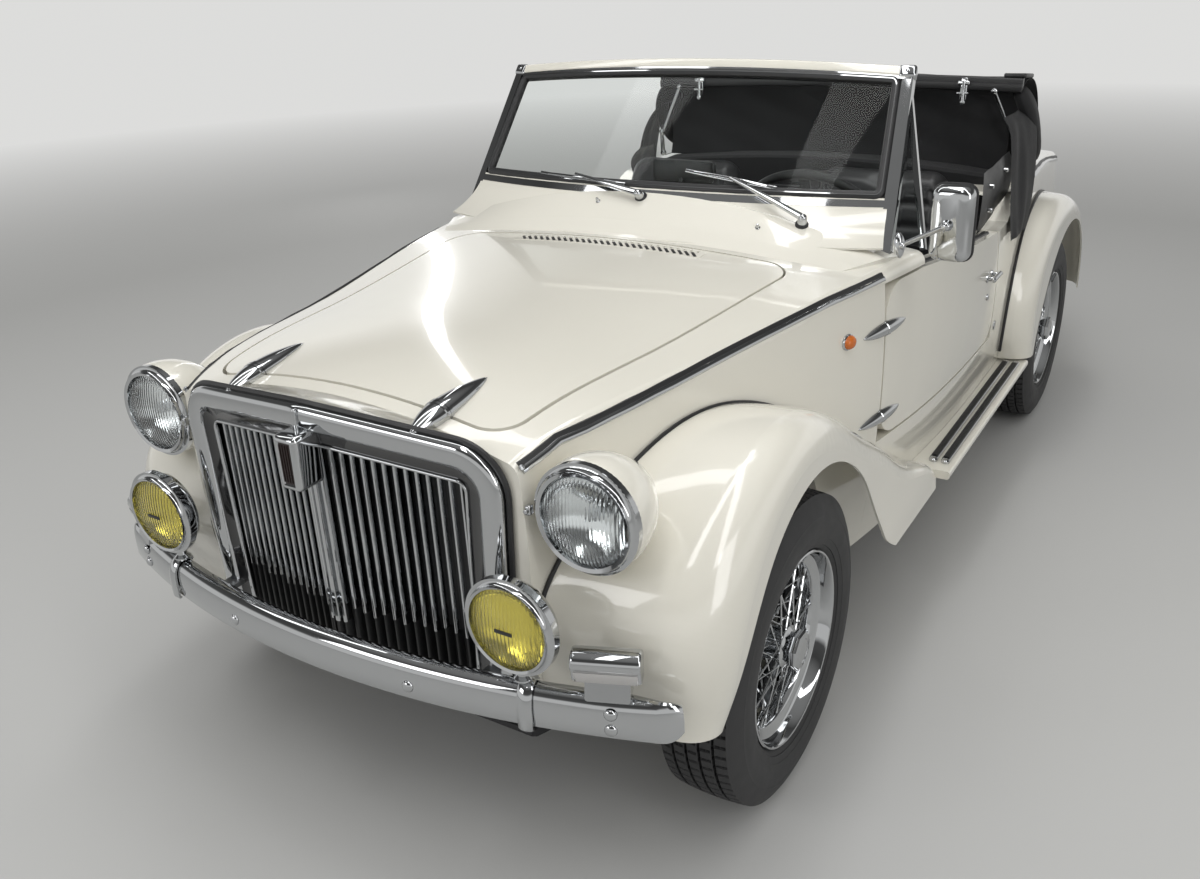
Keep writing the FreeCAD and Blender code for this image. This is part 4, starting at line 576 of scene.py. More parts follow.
def bumper(side, name, node):
    """Blade, straps, bolts and irons of one bumper; side is -1 in front."""
    path = blade_path(side)
    bm = bmesh.new()
    sweep(bm, path if side < 0 else path[::-1], BLADE_OUTSIDE + BLADE_INSIDE, sizes=blade_sizes(path))
    for vert in bm.verts:
        share = max(0.0, (abs(vert.co.x) - BLADE_TIP_X) / (END_X - BLADE_TIP_X))
        flat = math.sqrt(max(1 - 0.8 * share ** 2, 0.15))
        vert.co.z = BLADE_MIDDLE_Z + (vert.co.z - BLADE_MIDDLE_Z) * flat
    blade = piece(name, bm, chrome, "body", "chrome", sharp=30)
    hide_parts(node)
    bm = bmesh.new()
    for x in (-STRAP_X, STRAP_X):
        line, ups = [], []
        wrap = [(0.001, 0.3685), (0.0045, 0.372)] + [(a + 0.0045, b) for a, b in BLADE_OUTSIDE[2:5]]
        wrap += [(-0.004, 0.4365), (-0.0125, 0.443), (-0.022, 0.4455), (-0.031, 0.444), (-0.0365, 0.4385)]
        for index, (out, z) in enumerate(wrap):
            spot, way = blade_spot(side, x, out, z)
            line.append(spot)
            before, after = wrap[max(index - 1, 0)], wrap[min(index + 1, len(wrap) - 1)]
            rise, run = after[1] - before[1], after[0] - before[0]
            ups.append((way * rise - UP * run).normalized())
        band = [(-0.012, -0.003), (-0.012, 0.0005), (-0.008, 0.003), (0.0, 0.0042), (0.008, 0.003),
                (0.012, 0.0005), (0.012, -0.003)]
        sweep(bm, line, band, ups)
    for x, levels in BOLTS:
        for sign in (-1, 1):
            for z in levels:
                spot, way = blade_spot(side, sign * x, -0.001, z)
                dome = [(0.0, 0.0105), (0.0015, 0.0105), (0.0035, 0.009), (0.0055, 0.0065),
                        (0.0066, 0.0035), (0.007, 0.0)]
                lathe(bm, dome, facing(spot, way), steps=20)
    piece(name + "_fittings", bm, chrome, "body", "chrome")
    bm = bmesh.new()
    for sign in (-1, 1):
        start, _ = blade_spot(side, sign * IRON_X, -0.004, 0.4)
        end = Vector((sign * IRON_X, side * (1.5803 if side < 0 else 1.6503), 0.4))
        middle = (start + end) / 2
        block(bm, (0.032, 0.01, (end - start).length), facing(middle, end - start), roll=0.002)
    piece(name + "_irons", bm, dull_steel, "body", "chrome")


bumper(-1, "front_blade", "front_bumper")
bumper(1, "rear_blade", "rear_bumper")

# %% [markdown]
# The grille surround is a chromed shell in a shallow V. Its face is a fat roll outside, then a dark
# recessed band, and a black rubber bead closes the line to the body. The outline is written once, and
# each of the four parts is a sweep at its own distance from it.

# %% Grille: outline in the V plane
GRILLE_HALF, GRILLE_FOOT, GRILLE_TOP, GRILLE_SIDE_TOP, GRILLE_LOW = 0.345, 0.331, 0.822, 0.795, 0.35
RIDGE_Y, CORNER_Y, GRILLE_CORNER = -1.646, -1.594, 0.084


def v_face(x, z, back=0.0):
    """Point on the V face of the grille, set back by some depth."""
    return Vector((x, CORNER_Y + (RIDGE_Y - CORNER_Y) * (1 - abs(x) / GRILLE_HALF) + back, z))


def grille_line(inset, back=0.0, low=GRILLE_LOW):
    """Outline from the right foot over the top to the left foot, drawn in by an inset."""
    bend = GRILLE_CORNER - inset
    lean = math.atan2(GRILLE_TOP - GRILLE_SIDE_TOP, GRILLE_HALF - GRILLE_CORNER)
    centre = Vector((GRILLE_HALF - GRILLE_CORNER, 0, GRILLE_SIDE_TOP - GRILLE_CORNER))
    points = [(GRILLE_FOOT - inset, low),
              (GRILLE_FOOT - inset + (GRILLE_HALF - GRILLE_FOOT) * 0.5, (low + centre.z) / 2)]
    for step in range(11):
        angle = (math.pi / 2 - lean) * step / 10
        points.append((centre.x + bend * math.cos(angle), centre.z + bend * math.sin(angle)))
    end = points[-1]
    top = GRILLE_TOP - inset
    for share in (0.25, 0.5, 0.75, 0.94):
        points.append((end[0] * (1 - share), end[1] + (top - end[1]) * share))
    left = [v_face(x, z, back) for x, z in points]
    right = [Vector((-spot.x, spot.y, spot.z)) for spot in left]
    return right + [v_face(0.0, top, back)] + left[::-1]


def v_ways(line):
    """Outward direction of the V face at each point of a line."""
    lean = math.atan2(CORNER_Y - RIDGE_Y, GRILLE_HALF)
    ways = []
    for spot in line:
        share = max(-1.0, min(1.0, spot.x / 0.02))
        ways.append(Vector((math.sin(lean) * share, -math.cos(lean), 0)).normalized())
    return ways


# %% Grille: surround, recessed band, rubber bead and nub
ROLL = [(-0.029, -0.012), (-0.0295, -0.002), (-0.028, 0.003), (-0.024, 0.0062), (-0.018, 0.0078),
        (-0.008, 0.0082), (0.002, 0.007), (0.008, 0.0045), (0.01, 0.0015), (0.01, -0.012)]
BAND = [(0.01, -0.012), (0.01, -0.003), (0.0125, -0.005), (0.034, -0.0095), (0.035, -0.012)]
EDGE = [(0.0345, -0.0125), (0.0345, -0.0075), (0.036, -0.006), (0.0385, -0.006), (0.0398, -0.0075),
        (0.0398, -0.0125)]
middle_line = grille_line(0.029)
for name, section, mat, slot in (("grille_roll", ROLL, chrome, "chrome"),
                                 ("grille_band", BAND, None, "black_trim"),
                                 ("grille_edge", EDGE, chrome, "chrome")):
    bm = bmesh.new()
    sweep(bm, middle_line, section, v_ways(middle_line))
    if name == "grille_roll":
        block(bm, (0.009, 0.04, 0.01), facing(v_face(0, 0.799, -0.0075), AHEAD), roll=0.003)
    made = piece(name, bm, mat or gloss_black, "body", slot, sharp=50)
    if name == "grille_roll":
        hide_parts("grille_shell")
bm = bmesh.new()
bead_line = grille_line(-0.0035, 0.0085)
sweep(bm, bead_line, round_section(0.0048, 8), v_ways(bead_line))
piece("grille_bead", bm, black_rubber, "body", "black_trim")

# %% Painted nose between the grille and the hood
bm = bmesh.new()
upper = sorted({round(spot.x, 5): spot for spot in bead_line if spot.z > 0.77}.values(),
               key=lambda spot: spot.x)
crest = []
for k in range(61):
    x = -0.295 + 0.59 * k / 60
    left = max((spot for spot in upper if spot.x <= x), key=lambda spot: spot.x)
    right = min((spot for spot in upper if spot.x > x), key=lambda spot: spot.x)
    crest.append(left.lerp(right, (x - left.x) / (right.x - left.x)))
rows = []
for spot in crest:
    back = Vector((spot.x, -1.5782, top_point("front_body", spot.x, -1.574)[0].z - 0.0008))
    front = Vector((spot.x, spot.y + 0.003, spot.z + 0.0012))
    row = []
    for k in range(7):
        share = k / 6
        rise = (front.z - back.z) * (share - share ** 2 * (3 - 2 * share))
        row.append(bm.verts.new(front.lerp(back, share) + Vector((0, 0, rise))))
    rows.append(row)
for one, two in zip(rows, rows[1:]):
    for k in range(6):
        bm.faces.new((one[k], two[k], two[k + 1], one[k + 1]))
bmesh.ops.solidify(bm, geom=bm.faces[:], thickness=0.002)
piece("painted_nose", bm, ivory, "body", "paint", sharp=60)

# %% [markdown]
# Behind the surround stand thin folded fins with a ribbed bar in the middle. Below a ragged line
# near the top of the bumper they run on in dull black. Twenty-six fins share one section, swept upright.

# %% Grille: fins, centre bar, and a black sheet behind them as painted shade
FINS_A_SIDE, FIN_NEAR, FIN_FAR, FIN_LOW = 13, 0.02, 0.272, 0.358
PLATING_LOW, CENTRE_LOW = 0.446, 0.425
FIN = [(-0.003, -0.02), (-0.003, -0.003), (-0.0018, -0.0006), (0.0, 0.0), (0.0018, -0.0006),
       (0.003, -0.003), (0.003, -0.02)]
CENTRE = [(-0.0175, -0.016), (-0.0175, -0.002), (-0.016, 0.001), (-0.012, 0.001), (-0.01, -0.006),
          (-0.0065, -0.006), (-0.0035, 0.004), (0.0035, 0.004), (0.0065, -0.006), (0.01, -0.006),
          (0.012, 0.001), (0.016, 0.001), (0.0175, -0.002), (0.0175, -0.016)]


def fin_top(x):
    """Upper end of a fin under the recessed band."""
    inset = 0.068
    straight = GRILLE_TOP - inset - (GRILLE_TOP - GRILLE_SIDE_TOP) * abs(x) / (GRILLE_HALF - GRILLE_CORNER)
    corner = max(0.0, abs(x) - 0.262)
    return straight - corner * 0.9


plated, dull = bmesh.new(), bmesh.new()
pitch = (FIN_FAR - FIN_NEAR) / FINS_A_SIDE
for index in range(FINS_A_SIDE):
    for sign in (-1, 1):
        x = sign * (FIN_NEAR + pitch * (index + 0.55))
        ragged = PLATING_LOW + 0.006 * math.sin(index * 2.1 + sign)
        sweep(plated, [v_face(x, ragged, 0.016), v_face(x, fin_top(x), 0.016)], FIN, AHEAD)
        sweep(dull, [v_face(x, FIN_LOW, 0.017), v_face(x, ragged, 0.017)], FIN, AHEAD)
sweep(plated, [v_face(0, CENTRE_LOW, 0.012), v_face(0, fin_top(0), 0.012)], CENTRE, AHEAD)
sweep(dull, [v_face(0, FIN_LOW, 0.013), v_face(0, CENTRE_LOW, 0.013)], CENTRE, AHEAD)
fins = piece("grille_fins", plated, chrome, "body", "chrome")
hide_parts("grille_bars")
piece("grille_fin_feet", dull, grille_black, "body", "chrome")
# a black sheet behind the fins paints the shade inside the grille opening
bm = bmesh.new()
block(bm, (0.606, 0.43, 0.0012), facing((0, -1.5816, 0.562), AHEAD))
piece("grille_shade_sheet", bm, grille_black, "body", "black_trim")
bm = bmesh.new()
for sign in (-1, 1):
    rod(bm, (sign * 0.24, -1.64, 0.372), (sign * 0.278, -1.612, 0.388), 0.0022, 8)
piece("grille_rods", bm, chrome, "body", "chrome")

# %% [markdown]
# The badge block on the grille is a chromed casting with a recessed plate. Its plate stays blank apart
# from plain upright ribs.

# %% Grille: blank badge block
bm = bmesh.new()
block(bm, (0.05, 0.094, 0.056), facing((0, -1.658, 0.737), AHEAD), roll=0.01, segments=5, foot=0.9)
badge_faces = [face for face in bm.faces if face.normal.y < -0.99 and face.calc_area() > 0.0003]
inset = bmesh.ops.inset_region(bm, faces=badge_faces, thickness=0.0035, use_even_offset=True)
bmesh.ops.translate(bm, verts=list({v for face in badge_faces for v in face.verts}), vec=(0, 0.0035, 0))
piece("badge_block", bm, chrome, "body", "chrome")
bm = bmesh.new()
for k in range(5):
    block(bm, (0.0024, 0.064, 0.003), facing((-0.0112 + 0.0056 * k, -1.6835, 0.737), AHEAD), roll=0.0008,
          segments=2)
block(bm, (0.031, 0.074, 0.0012), facing((0, -1.6829, 0.737), AHEAD))
piece("badge_plate", bm, dark_plate, "body", "black_trim")

# %% [markdown]
# A headlamp is a bowl: a painted pod outside, a bright reflector inside, and a domed glass with upright
# flutes over it. All three are turned on one axis that looks back along the car. Real depth behind the
# glass is what makes a lamp look alive, so the pod is modelled hollow.

# %% Lamps: pods, reflectors and domed glasses
HEAD_SPOT, FOG_SPOT = Vector((0.471, -1.583, 0.7)), Vector((0.39, -1.674, 0.549))
HEAD_POD = [(0.0135, 0.074), (0.0135, 0.0835), (0.016, 0.0866), (0.024, 0.0884), (0.043, 0.0888),
            (0.068, 0.0846), (0.093, 0.0745), (0.116, 0.06), (0.134, 0.042), (0.145, 0.022), (0.15, 0.0)]
HEAD_BOWL = [(0.0125, 0.0738), (0.018, 0.0725), (0.03, 0.064), (0.042, 0.05), (0.051, 0.033),
             (0.056, 0.015), (0.057, 0.0)]
HEAD_GLASS = [(-0.0075, 0.0), (-0.0068, 0.02), (-0.0045, 0.04), (-0.001, 0.056), (0.0035, 0.067),
              (0.0085, 0.073), (0.011, 0.073), (0.0062, 0.0655), (0.0015, 0.054), (-0.0018, 0.039),
              (-0.004, 0.02), (-0.0046, 0.0)]
BULB_CAP = [(0.023, 0.0), (0.024, 0.008), (0.03, 0.0105), (0.05, 0.011)]
FOG_POD = [(0.0125, 0.064), (0.0125, 0.0725), (0.016, 0.0756), (0.024, 0.0766), (0.038, 0.069),
           (0.05, 0.05), (0.059, 0.025), (0.062, 0.0)]
FOG_BOWL = [(0.0115, 0.0668), (0.019, 0.062), (0.03, 0.047), (0.037, 0.028), (0.04, 0.0)]
FOG_GLASS = [(-0.004, 0.0), (-0.0034, 0.022), (-0.001, 0.043), (0.003, 0.059), (0.008, 0.0668),
             (0.0105, 0.0668), (0.0058, 0.058), (0.0018, 0.042), (-0.0004, 0.022), (-0.001, 0.0)]


def lamp_piece(name, outline, spot, mat, slot, steps=96):
    """Turns an outline at a lamp on each side of the car."""
    bm = bmesh.new()
    for sign in (-1, 1):
        lathe(bm, outline, facing(Vector((sign * spot.x, spot.y, spot.z)), REARWARD), steps)
    return piece(name, bm, mat, "body", slot)


pods = lamp_piece("headlamp_pods", HEAD_POD, HEAD_SPOT, ivory, "paint")
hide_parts("lamp_shells")
lamp_piece("headlamp_bowls", HEAD_BOWL, HEAD_SPOT, reflector, "chrome")
head_glass = lamp_piece("headlamp_glasses", HEAD_GLASS, HEAD_SPOT, fluted_glass, "fluted_glass")
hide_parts("headlamp_lenses")
lamp_piece("headlamp_bulb_caps", BULB_CAP, HEAD_SPOT, chrome, "chrome", 24)
lamp_piece("fog_pods", FOG_POD, FOG_SPOT, chrome, "chrome")
lamp_piece("fog_bowls", FOG_BOWL, FOG_SPOT, reflector, "chrome")
fog_glass = lamp_piece("fog_glasses", FOG_GLASS, FOG_SPOT, amber_glass, "amber_glass")
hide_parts("fog_lenses")

# %% Lamps: brackets, posts, ring screws and the dark bars of the fog lamps
bm = bmesh.new()
rod(bm, (0.44, -1.505, 0.688), (0.352, -1.505, 0.68), 0.017, 20)
paired("headlamp_brackets", bm, ivory, "paint")
bm = bmesh.new()
lathe(bm, [(0.0, 0.0), (0.0, 0.015), (0.003, 0.015), (0.008, 0.0095), (0.02, 0.008), (0.034, 0.008),
           (0.04, 0.0)], facing((0.39, -1.64, 0.4465), UP, REARWARD), 24)
block(bm, (0.01, 0.016, 0.012), facing((0.38, -1.58, 0.7), AHEAD), roll=0.003)
lathe(bm, [(0.0, 0.0038), (0.004, 0.0038), (0.006, 0.0)], facing((0.38, -1.586, 0.7), AHEAD), 16)
paired("lamp_posts", bm, chrome, "chrome")
bm = bmesh.new()
block(bm, (0.031, 0.006, 0.0022), facing((0.39, -1.6785, 0.549), AHEAD), roll=0.0007, segments=2)
paired("fog_lamp_bars", bm, black_rubber, "black_trim")

# %% [markdown]
# The turn lamps are small plated boxes with a rolled front, each on a narrow foot. One section swept
# along the box gives the roll, and the glass is a strip set into its lower front.

# %% Turn lamps along the blade
TURN_TURN = math.radians(22)
TURN_PLACE = Matrix.Translation((0.522, -1.608, 0.495)) @ Matrix.Rotation(TURN_TURN, 4, "Z")
HOUSING = [(-0.013, -0.025), (-0.014, -0.02), (-0.014, 0.016), (-0.011, 0.0225), (-0.004, 0.0258),
           (0.008, 0.0256), (0.017, 0.022), (0.0222, 0.015), (0.0238, 0.006), (0.022, 0.0015),
           (0.0185, 0.001), (0.0135, -0.0225), (0.008, -0.0255)]
TURN_GLASS = [(0.015, -0.0015), (0.0232, -0.0015), (0.0228, -0.008), (0.017, -0.022), (0.011, -0.0246),
              (0.009, -0.02)]
FOOT = [(-0.015, -0.0545), (-0.015, -0.024), (0.01, -0.024), (0.018, -0.0545)]


def turned_box(bm, section, ends, roll):
    """Sweeps a section along the box of a turn lamp, a little smaller at both ends."""
    low, high = ends
    runs = [(low, 0.93), (low + roll * 0.3, 0.975), (low + roll, 1.0),
            (high - roll, 1.0), (high - roll * 0.3, 0.975), (high, 0.93)]
    old = set(bm.verts)
    sweep(bm, [Vector((x, 0, 0)) for x, _ in runs], section, sizes=[(size, size) for _, size in runs])
    bmesh.ops.transform(bm, matrix=TURN_PLACE, verts=fresh(bm, old))


for name, section, ends, mat, slot in (("turn_lamp_housings", HOUSING, (-0.0535, 0.0495), chrome, "chrome"),
                                       ("turn_lamp_glasses", TURN_GLASS, (-0.049, 0.045), smoked_glass,
                                        "fluted_glass"),
                                       ("turn_lamp_feet", FOOT, (-0.035, 0.033), chrome, "chrome")):
    bm = bmesh.new()
    turned_box(bm, section, ends, 0.004)
    made = paired(name, bm, mat, slot)
    if name == "turn_lamp_housings":
        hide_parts("turn_lamps")

# %% [markdown]
# The hinges are plated spindles that straddle the shut lines: one half is screwed to the body, the other
# to the door or the lid. Each half is turned, flattened a little, and rides with its own panel.

# %% Hinges: pointed half spindles on doors and hood
def spindle_half(bm, centre, tip, out, width, height):
    """Half of a pointed spindle from its knuckle at the centre to its tip."""
    way = tip - centre
    outline = [(0.0004, 0.0), (0.0004, 1.05), (0.006, 1.05), (0.0075, 0.97)]
    for step in range(1, 15):
        share = step / 14
        outline.append((0.0075 + (way.length - 0.0075) * share, max(0.97 * (1 - share ** 1.7) ** 0.8, 0.0)))
    stretch = Matrix.Diagonal((width / 2, height, 1, 1))
    lathe(bm, outline, facing(centre, way, out) @ stretch, 24)


DOOR_HINGES = ((-0.603, 0.711), (-0.603, 0.514))
for side_name, sign in SIDES:
    halves = {"body": bmesh.new(), f"door_{side_name}": bmesh.new()}
    for y, z in DOOR_HINGES:
        front, out_front = side_point("front_body", y - 0.088, z)
        rear, out_rear = side_point("door_left", y + 0.088, z)
        middle = (front + rear) / 2
        out = (out_front + out_rear).normalized()
        bow = side_point("front_body", y - 0.012, z)[0].x - middle.x
        middle.x += bow
        for body, tip in (("body", front), (f"door_{side_name}", rear)):
            spindle_half(halves[body], middle, tip + out * 0.001, out, 0.031, 0.0155)
    for body, bm in halves.items():
        onto_side(bm, sign)
        made = piece(f"hinge_{side_name}_{'leaf' if body == 'body' else 'strap'}", bm, chrome, body,
                     "chrome")
        if body != "body":
            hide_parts(f"door_fittings_{side_name}")
        elif sign > 0:
            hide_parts("hinge_leaves")
halves = {"body": bmesh.new(), "hood_lid": bmesh.new()}
for sign in (-1, 1):
    middle = top_point("hood_lid", sign * 0.202, -1.54)[0] + Vector((0, -0.009, 0.001))
    front = top_point("front_body", sign * 0.2, -1.572)[0] + Vector((0, -0.046, -0.002))
    rear, out = top_point("hood_lid", sign * 0.206, -1.432)
    spindle_half(halves["body"], middle, front, out, 0.046, 0.0175)
    spindle_half(halves["hood_lid"], middle, rear + out * 0.001, out, 0.046, 0.0175)
piece("hood_hinge_leaves", halves["body"], chrome, "body", "chrome")
piece("hood_hinge_straps", halves["hood_lid"], chrome, "hood_lid", "chrome")

# %% [markdown]
# A plated strip with a dark line above it runs along the shoulder from the grille to the windscreen. Its
# path is cast onto the enamel, and the enamel's own normal turns the strip with the surface.

# %% Shoulder trim
SHOULDER = [(-1.572, 0.76), (-1.5, 0.7805), (-1.35, 0.7875), (-1.2, 0.7935), (-1.05, 0.802), (-0.9, 0.811),
            (-0.8, 0.8165), (-0.7, 0.819), (-0.612, 0.821)]
TRIM_BRIGHT = [(-0.001, -0.002), (-0.001, 0.003), (0.0015, 0.0058), (0.0055, 0.0064), (0.0092, 0.0045),
               (0.0105, -0.002)]
TRIM_DARK = [(-0.01, -0.002), (-0.0088, 0.0022), (-0.004, 0.0034), (-0.001, 0.003), (-0.001, -0.002)]


def cast_line(name, pairs, finer=3):
    """Points and normals on the left side for (y, z) pairs, with points put in between."""
    spots, ways = [], []
    for (y0, z0), (y1, z1) in zip(pairs, pairs[1:]):
        for step in range(finer):
            share = step / finer
            spots.append((y0 + (y1 - y0) * share, z0 + (z1 - z0) * share))
    spots.append(pairs[-1])
    line = []
    for y, z in spots:
        hit = side_point(name, y, z)
        if hit:
            line.append(hit[0])
            ways.append(hit[1])
    return line, ways


def lay_trim(prefix, line, ways):
    """A bright strip with a dark line above it, along a line and on both sides."""
    for part, section, mat, slot in (("bright", TRIM_BRIGHT, chrome, "chrome"),
                                     ("dark", TRIM_DARK, black_rubber, "black_trim")):
        bm = bmesh.new()
        sweep(bm, line, section, ways)
        paired(f"{prefix}_{part}", bm, mat, slot)


trim_line, trim_ways = cast_line("front_body", SHOULDER)
lay_trim("shoulder_trim", trim_line, trim_ways)
bm = bmesh.new()
lathe(bm, [(0.0, 0.0042), (0.003, 0.0042), (0.0045, 0.0)],
      facing(trim_line[0] + trim_ways[0] * 0.005, trim_ways[0]), 16)
paired("shoulder_trim_screws", bm, dull_steel, "chrome")

# %% [markdown]
# A black rubber bead is squeezed between each fender and the body. Rays find the seam: for each angle
# about the wheel, one ray gives the body side and another the fender's outside just beside it.

# %% Fender beads
def joint_skin(label, *names):
    """One ray target made of several pieces."""
    bm = bmesh.new()
    for name in names:
        bm.from_mesh(nodes[name].data)
    skins[label] = BVHTree.FromBMesh(bm)
    bm.free()


joint_skin("left_side", "front_body", "door_left", "sills", "rear_body")
FRONT_AXLE_Y, REAR_AXLE_Y, AXLE_Z = -1.1685, 0.8585, 0.287
SEAM_GAP = 0.0035


def fender_seam(fender, axle_y, angles, guess):
    """Seam between a fender and the side, as points and outward normals of the fender."""
    line, ways, reach = [], [], guess
    for angle in angles:
        way = Vector((0, math.cos(math.radians(angle)), math.sin(math.radians(angle))))
        hub = Vector((0, axle_y, AXLE_Z))
        for _ in range(5):
            spot = hub + way * reach
            side = side_point("left_side", spot.y, spot.z)
            if side is None:
                break
            edge = side[0].x + SEAM_GAP
            hit = on_skin(fender, hub + way * 1.05 + Vector((edge, 0, 0)), -way)
            if hit is None:
                break
            reach = (Vector((0, hit[0].y, hit[0].z)) - hub).length
        else:
            line.append(Vector((edge, hit[0].y, hit[0].z)))
            ways.append((way + Vector((0.4, 0, 0))).normalized())
    return line, ways


bm = bmesh.new()
for fender, axle_y, angles in (("fender_front_left", FRONT_AXLE_Y, range(171, 3, -3)),
                               ("fender_rear_left", REAR_AXLE_Y, range(172, 9, -3))):
    line, ways = fender_seam(fender, axle_y, angles, 0.42)
    print(fender, "seam points:", len(line), "reach x", round(line[0].x, 3), "to", round(line[-1].x, 3))
    sweep(bm, line, round_section(0.0042, 8), ways)
paired("fender_beads", bm, black_rubber, "black_trim")

# %% [markdown]
# The running boards carry two ribbed rubber treads in plated channels, with a stud at each end.

# %% Running board treads
CHANNEL = [(-0.0095, -0.002), (-0.0095, 0.004), (-0.008, 0.0052), (-0.007, 0.004), (0.007, 0.004),
           (0.008, 0.0052), (0.0095, 0.004), (0.0095, -0.002)]
CHANNEL_FRONT, CHANNEL_REAR = -0.352, 0.386
TREAD = [(-0.0068, 0.003)]
for k in range(4):
    TREAD += [(-0.0062 + 0.0034 * k, 0.0078), (-0.0042 + 0.0034 * k, 0.0078),
              (-0.0035 + 0.0034 * k, 0.0056)]
TREAD[-1] = (0.0068, 0.003)
bright, dark = bmesh.new(), bmesh.new()
for x in (0.648, 0.676):
    start, end = Vector((x, CHANNEL_FRONT, 0.3215)), Vector((x, CHANNEL_REAR, 0.3215))
    sweep(bright, [start, end], CHANNEL)
    sweep(dark, [start + Vector((0, 0.012, 0)), end - Vector((0, 0.012, 0))], TREAD)
    for y in (CHANNEL_FRONT, CHANNEL_REAR):
        lathe(bright, [(0.0, 0.01), (0.005, 0.01), (0.008, 0.0075), (0.0095, 0.0)],
              facing((x, y, 0.3185), UP, REARWARD), 24)
for name, bm, mat, slot in (("board_channels", bright, chrome, "chrome"),
                            ("board_treads", dark, black_rubber, "black_trim")):
    paired(name, bm, mat, slot)

# %% [markdown]
# The wheels are the finest work on the car: a polished rim, a hub with two flanges, and sixty crossed
# wires between them. Each wire is a thin rod with a nipple at the rim. The outer wires are long and cross
# steeply, the inner ones are short, and together they give the depth that a flat disc never has.

# %% Wire wheels: rim, hub and cap
WHEEL_SPOTS = {"front_left": (0.573, FRONT_AXLE_Y), "front_right": (-0.573, FRONT_AXLE_Y),
               "rear_left": (0.606, REAR_AXLE_Y), "rear_right": (-0.606, REAR_AXLE_Y)}
RIM = [(0.0585, 0.1775), (0.0625, 0.1822), (0.0655, 0.1825), (0.0673, 0.1805), (0.0664, 0.1775),
       (0.062, 0.175), (0.05, 0.1722), (0.044, 0.1705), (0.0415, 0.1675), (0.0385, 0.159), (0.035, 0.1535),
       (0.029, 0.1508), (0.015, 0.149), (-0.015, 0.149), (-0.033, 0.153), (-0.039, 0.169), (-0.062, 0.175),
       (-0.0672, 0.1805), (-0.062, 0.1822), (-0.0585, 0.1775), (-0.04, 0.174), (-0.025, 0.158),
       (0.025, 0.158), (0.04, 0.174), (0.0585, 0.1775)]
HUB = [(-0.06, 0.02), (-0.06, 0.048), (-0.052, 0.05), (-0.048, 0.044), (-0.03, 0.043), (-0.027, 0.049),
       (-0.023, 0.049), (-0.02, 0.04), (0.01, 0.031), (0.038, 0.03), (0.044, 0.039), (0.048, 0.039),
       (0.052, 0.033), (0.056, 0.029), (0.06, 0.02)]
CAP = [(0.056, 0.03), (0.06, 0.0365), (0.072, 0.0372), (0.076, 0.035), (0.0785, 0.024), (0.0772, 0.0225)]


def wheel_place(corner):
    """Matrix that sets local Z along the axle, outwards, at a corner of the car."""
    x, y = WHEEL_SPOTS[corner]
    return facing((x, y, AXLE_Z), (math.copysign(1, x), 0, 0))


def eight_sided(bm, steps):
    """Stacks eight-sided rings of (depth, radius) into a closed cap."""
    rings = []
    for depth, radius in steps:
        ring = bmesh.ops.create_circle(bm, segments=8, radius=radius,
                                       matrix=Matrix.Translation((0, 0, depth)) @
                                       Matrix.Rotation(math.pi / 8, 4, "Z"))["verts"]
        rings.append([edge for edge in {edge for vert in ring for edge in vert.link_edges}])
    for low, high in zip(rings, rings[1:]):
        bmesh.ops.bridge_loops(bm, edges=low + high)
    bmesh.ops.edgeloop_fill(bm, edges=rings[0])
    bmesh.ops.edgeloop_fill(bm, edges=rings[-1])


# %% Wire wheels: crossed wires and their nipples
# hub depth, hub radius, rim depth, rim radius, lead in degrees, first angle, count
WIRE_ROWS = ((0.046, 0.0355, 0.03, 0.15, 42, 0.0, 12), (0.046, 0.0355, 0.03, 0.15, -42, 8.0, 12),
             (-0.025, 0.045, 0.012, 0.148, 58, 4.0, 18), (-0.025, 0.045, 0.002, 0.148, -58, 14.0, 18))


def ring_spot(depth, radius, degrees):
    """Point on a ring about the axle."""
    angle = math.radians(degrees)
    return Vector((radius * math.cos(angle), radius * math.sin(angle), depth))


def wires(bm):
    """All wires of a wheel, each with its nipple at the rim."""
    for hub_z, hub_r, rim_z, rim_r, lead, first, count in WIRE_ROWS:
        for index in range(count):
            turn = first + index * 360 / count
            start, end = ring_spot(hub_z, hub_r, turn + lead), ring_spot(rim_z, rim_r, turn)
            way = (end - start).normalized()
            rod(bm, start, end, 0.0017, 6)
            lathe(bm, [(0.0, 0.0), (0.0, 0.002), (0.01, 0.0036), (0.014, 0.0036), (0.018, 0.0)],
                  facing(end - way * 0.013, way, (0.3, 0.5, 0.8)), 8)


for corner in WHEEL_SPOTS:
    bm = bmesh.new()
    place = wheel_place(corner)
    lathe(bm, RIM, Matrix(), 128)
    lathe(bm, HUB, Matrix(), 64)
    eight_sided(bm, CAP)
    wires(bm)
    bmesh.ops.transform(bm, matrix=place, verts=bm.verts)
    wheel = piece(f"wire_wheel_{corner}", bm, chrome, f"wheel_{corner}", "chrome", sharp=32)
    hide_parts(f"wheel_{corner}")

# %% [markdown]
# Behind the wires a brake drum fills the dark middle of each wheel. It turns with the wheel, as on the
# real axle, and its fins catch a little light.

# %% Brake drums
DRUM = [(-0.064, 0.03), (-0.064, 0.118), (-0.06, 0.123), (-0.056, 0.118), (-0.052, 0.123), (-0.048, 0.118),
        (-0.044, 0.123), (-0.04, 0.119), (-0.037, 0.112), (-0.035, 0.09), (-0.035, 0.043), (-0.04, 0.03)]
for corner in WHEEL_SPOTS:
    bm = bmesh.new()
    lathe(bm, DRUM + DRUM[:1], wheel_place(corner), 64)
    piece(f"brake_drum_{corner}", bm, cast_iron, f"wheel_{corner}", "iron")

# %% [markdown]
# A tyre is a profile turned about the axle: bead, bulging wall, shoulder and a tread with four grooves.
# The slanted cuts across the ribs are inset faces pushed inwards, so they are real relief that shows at
# the edge of the tyre too.

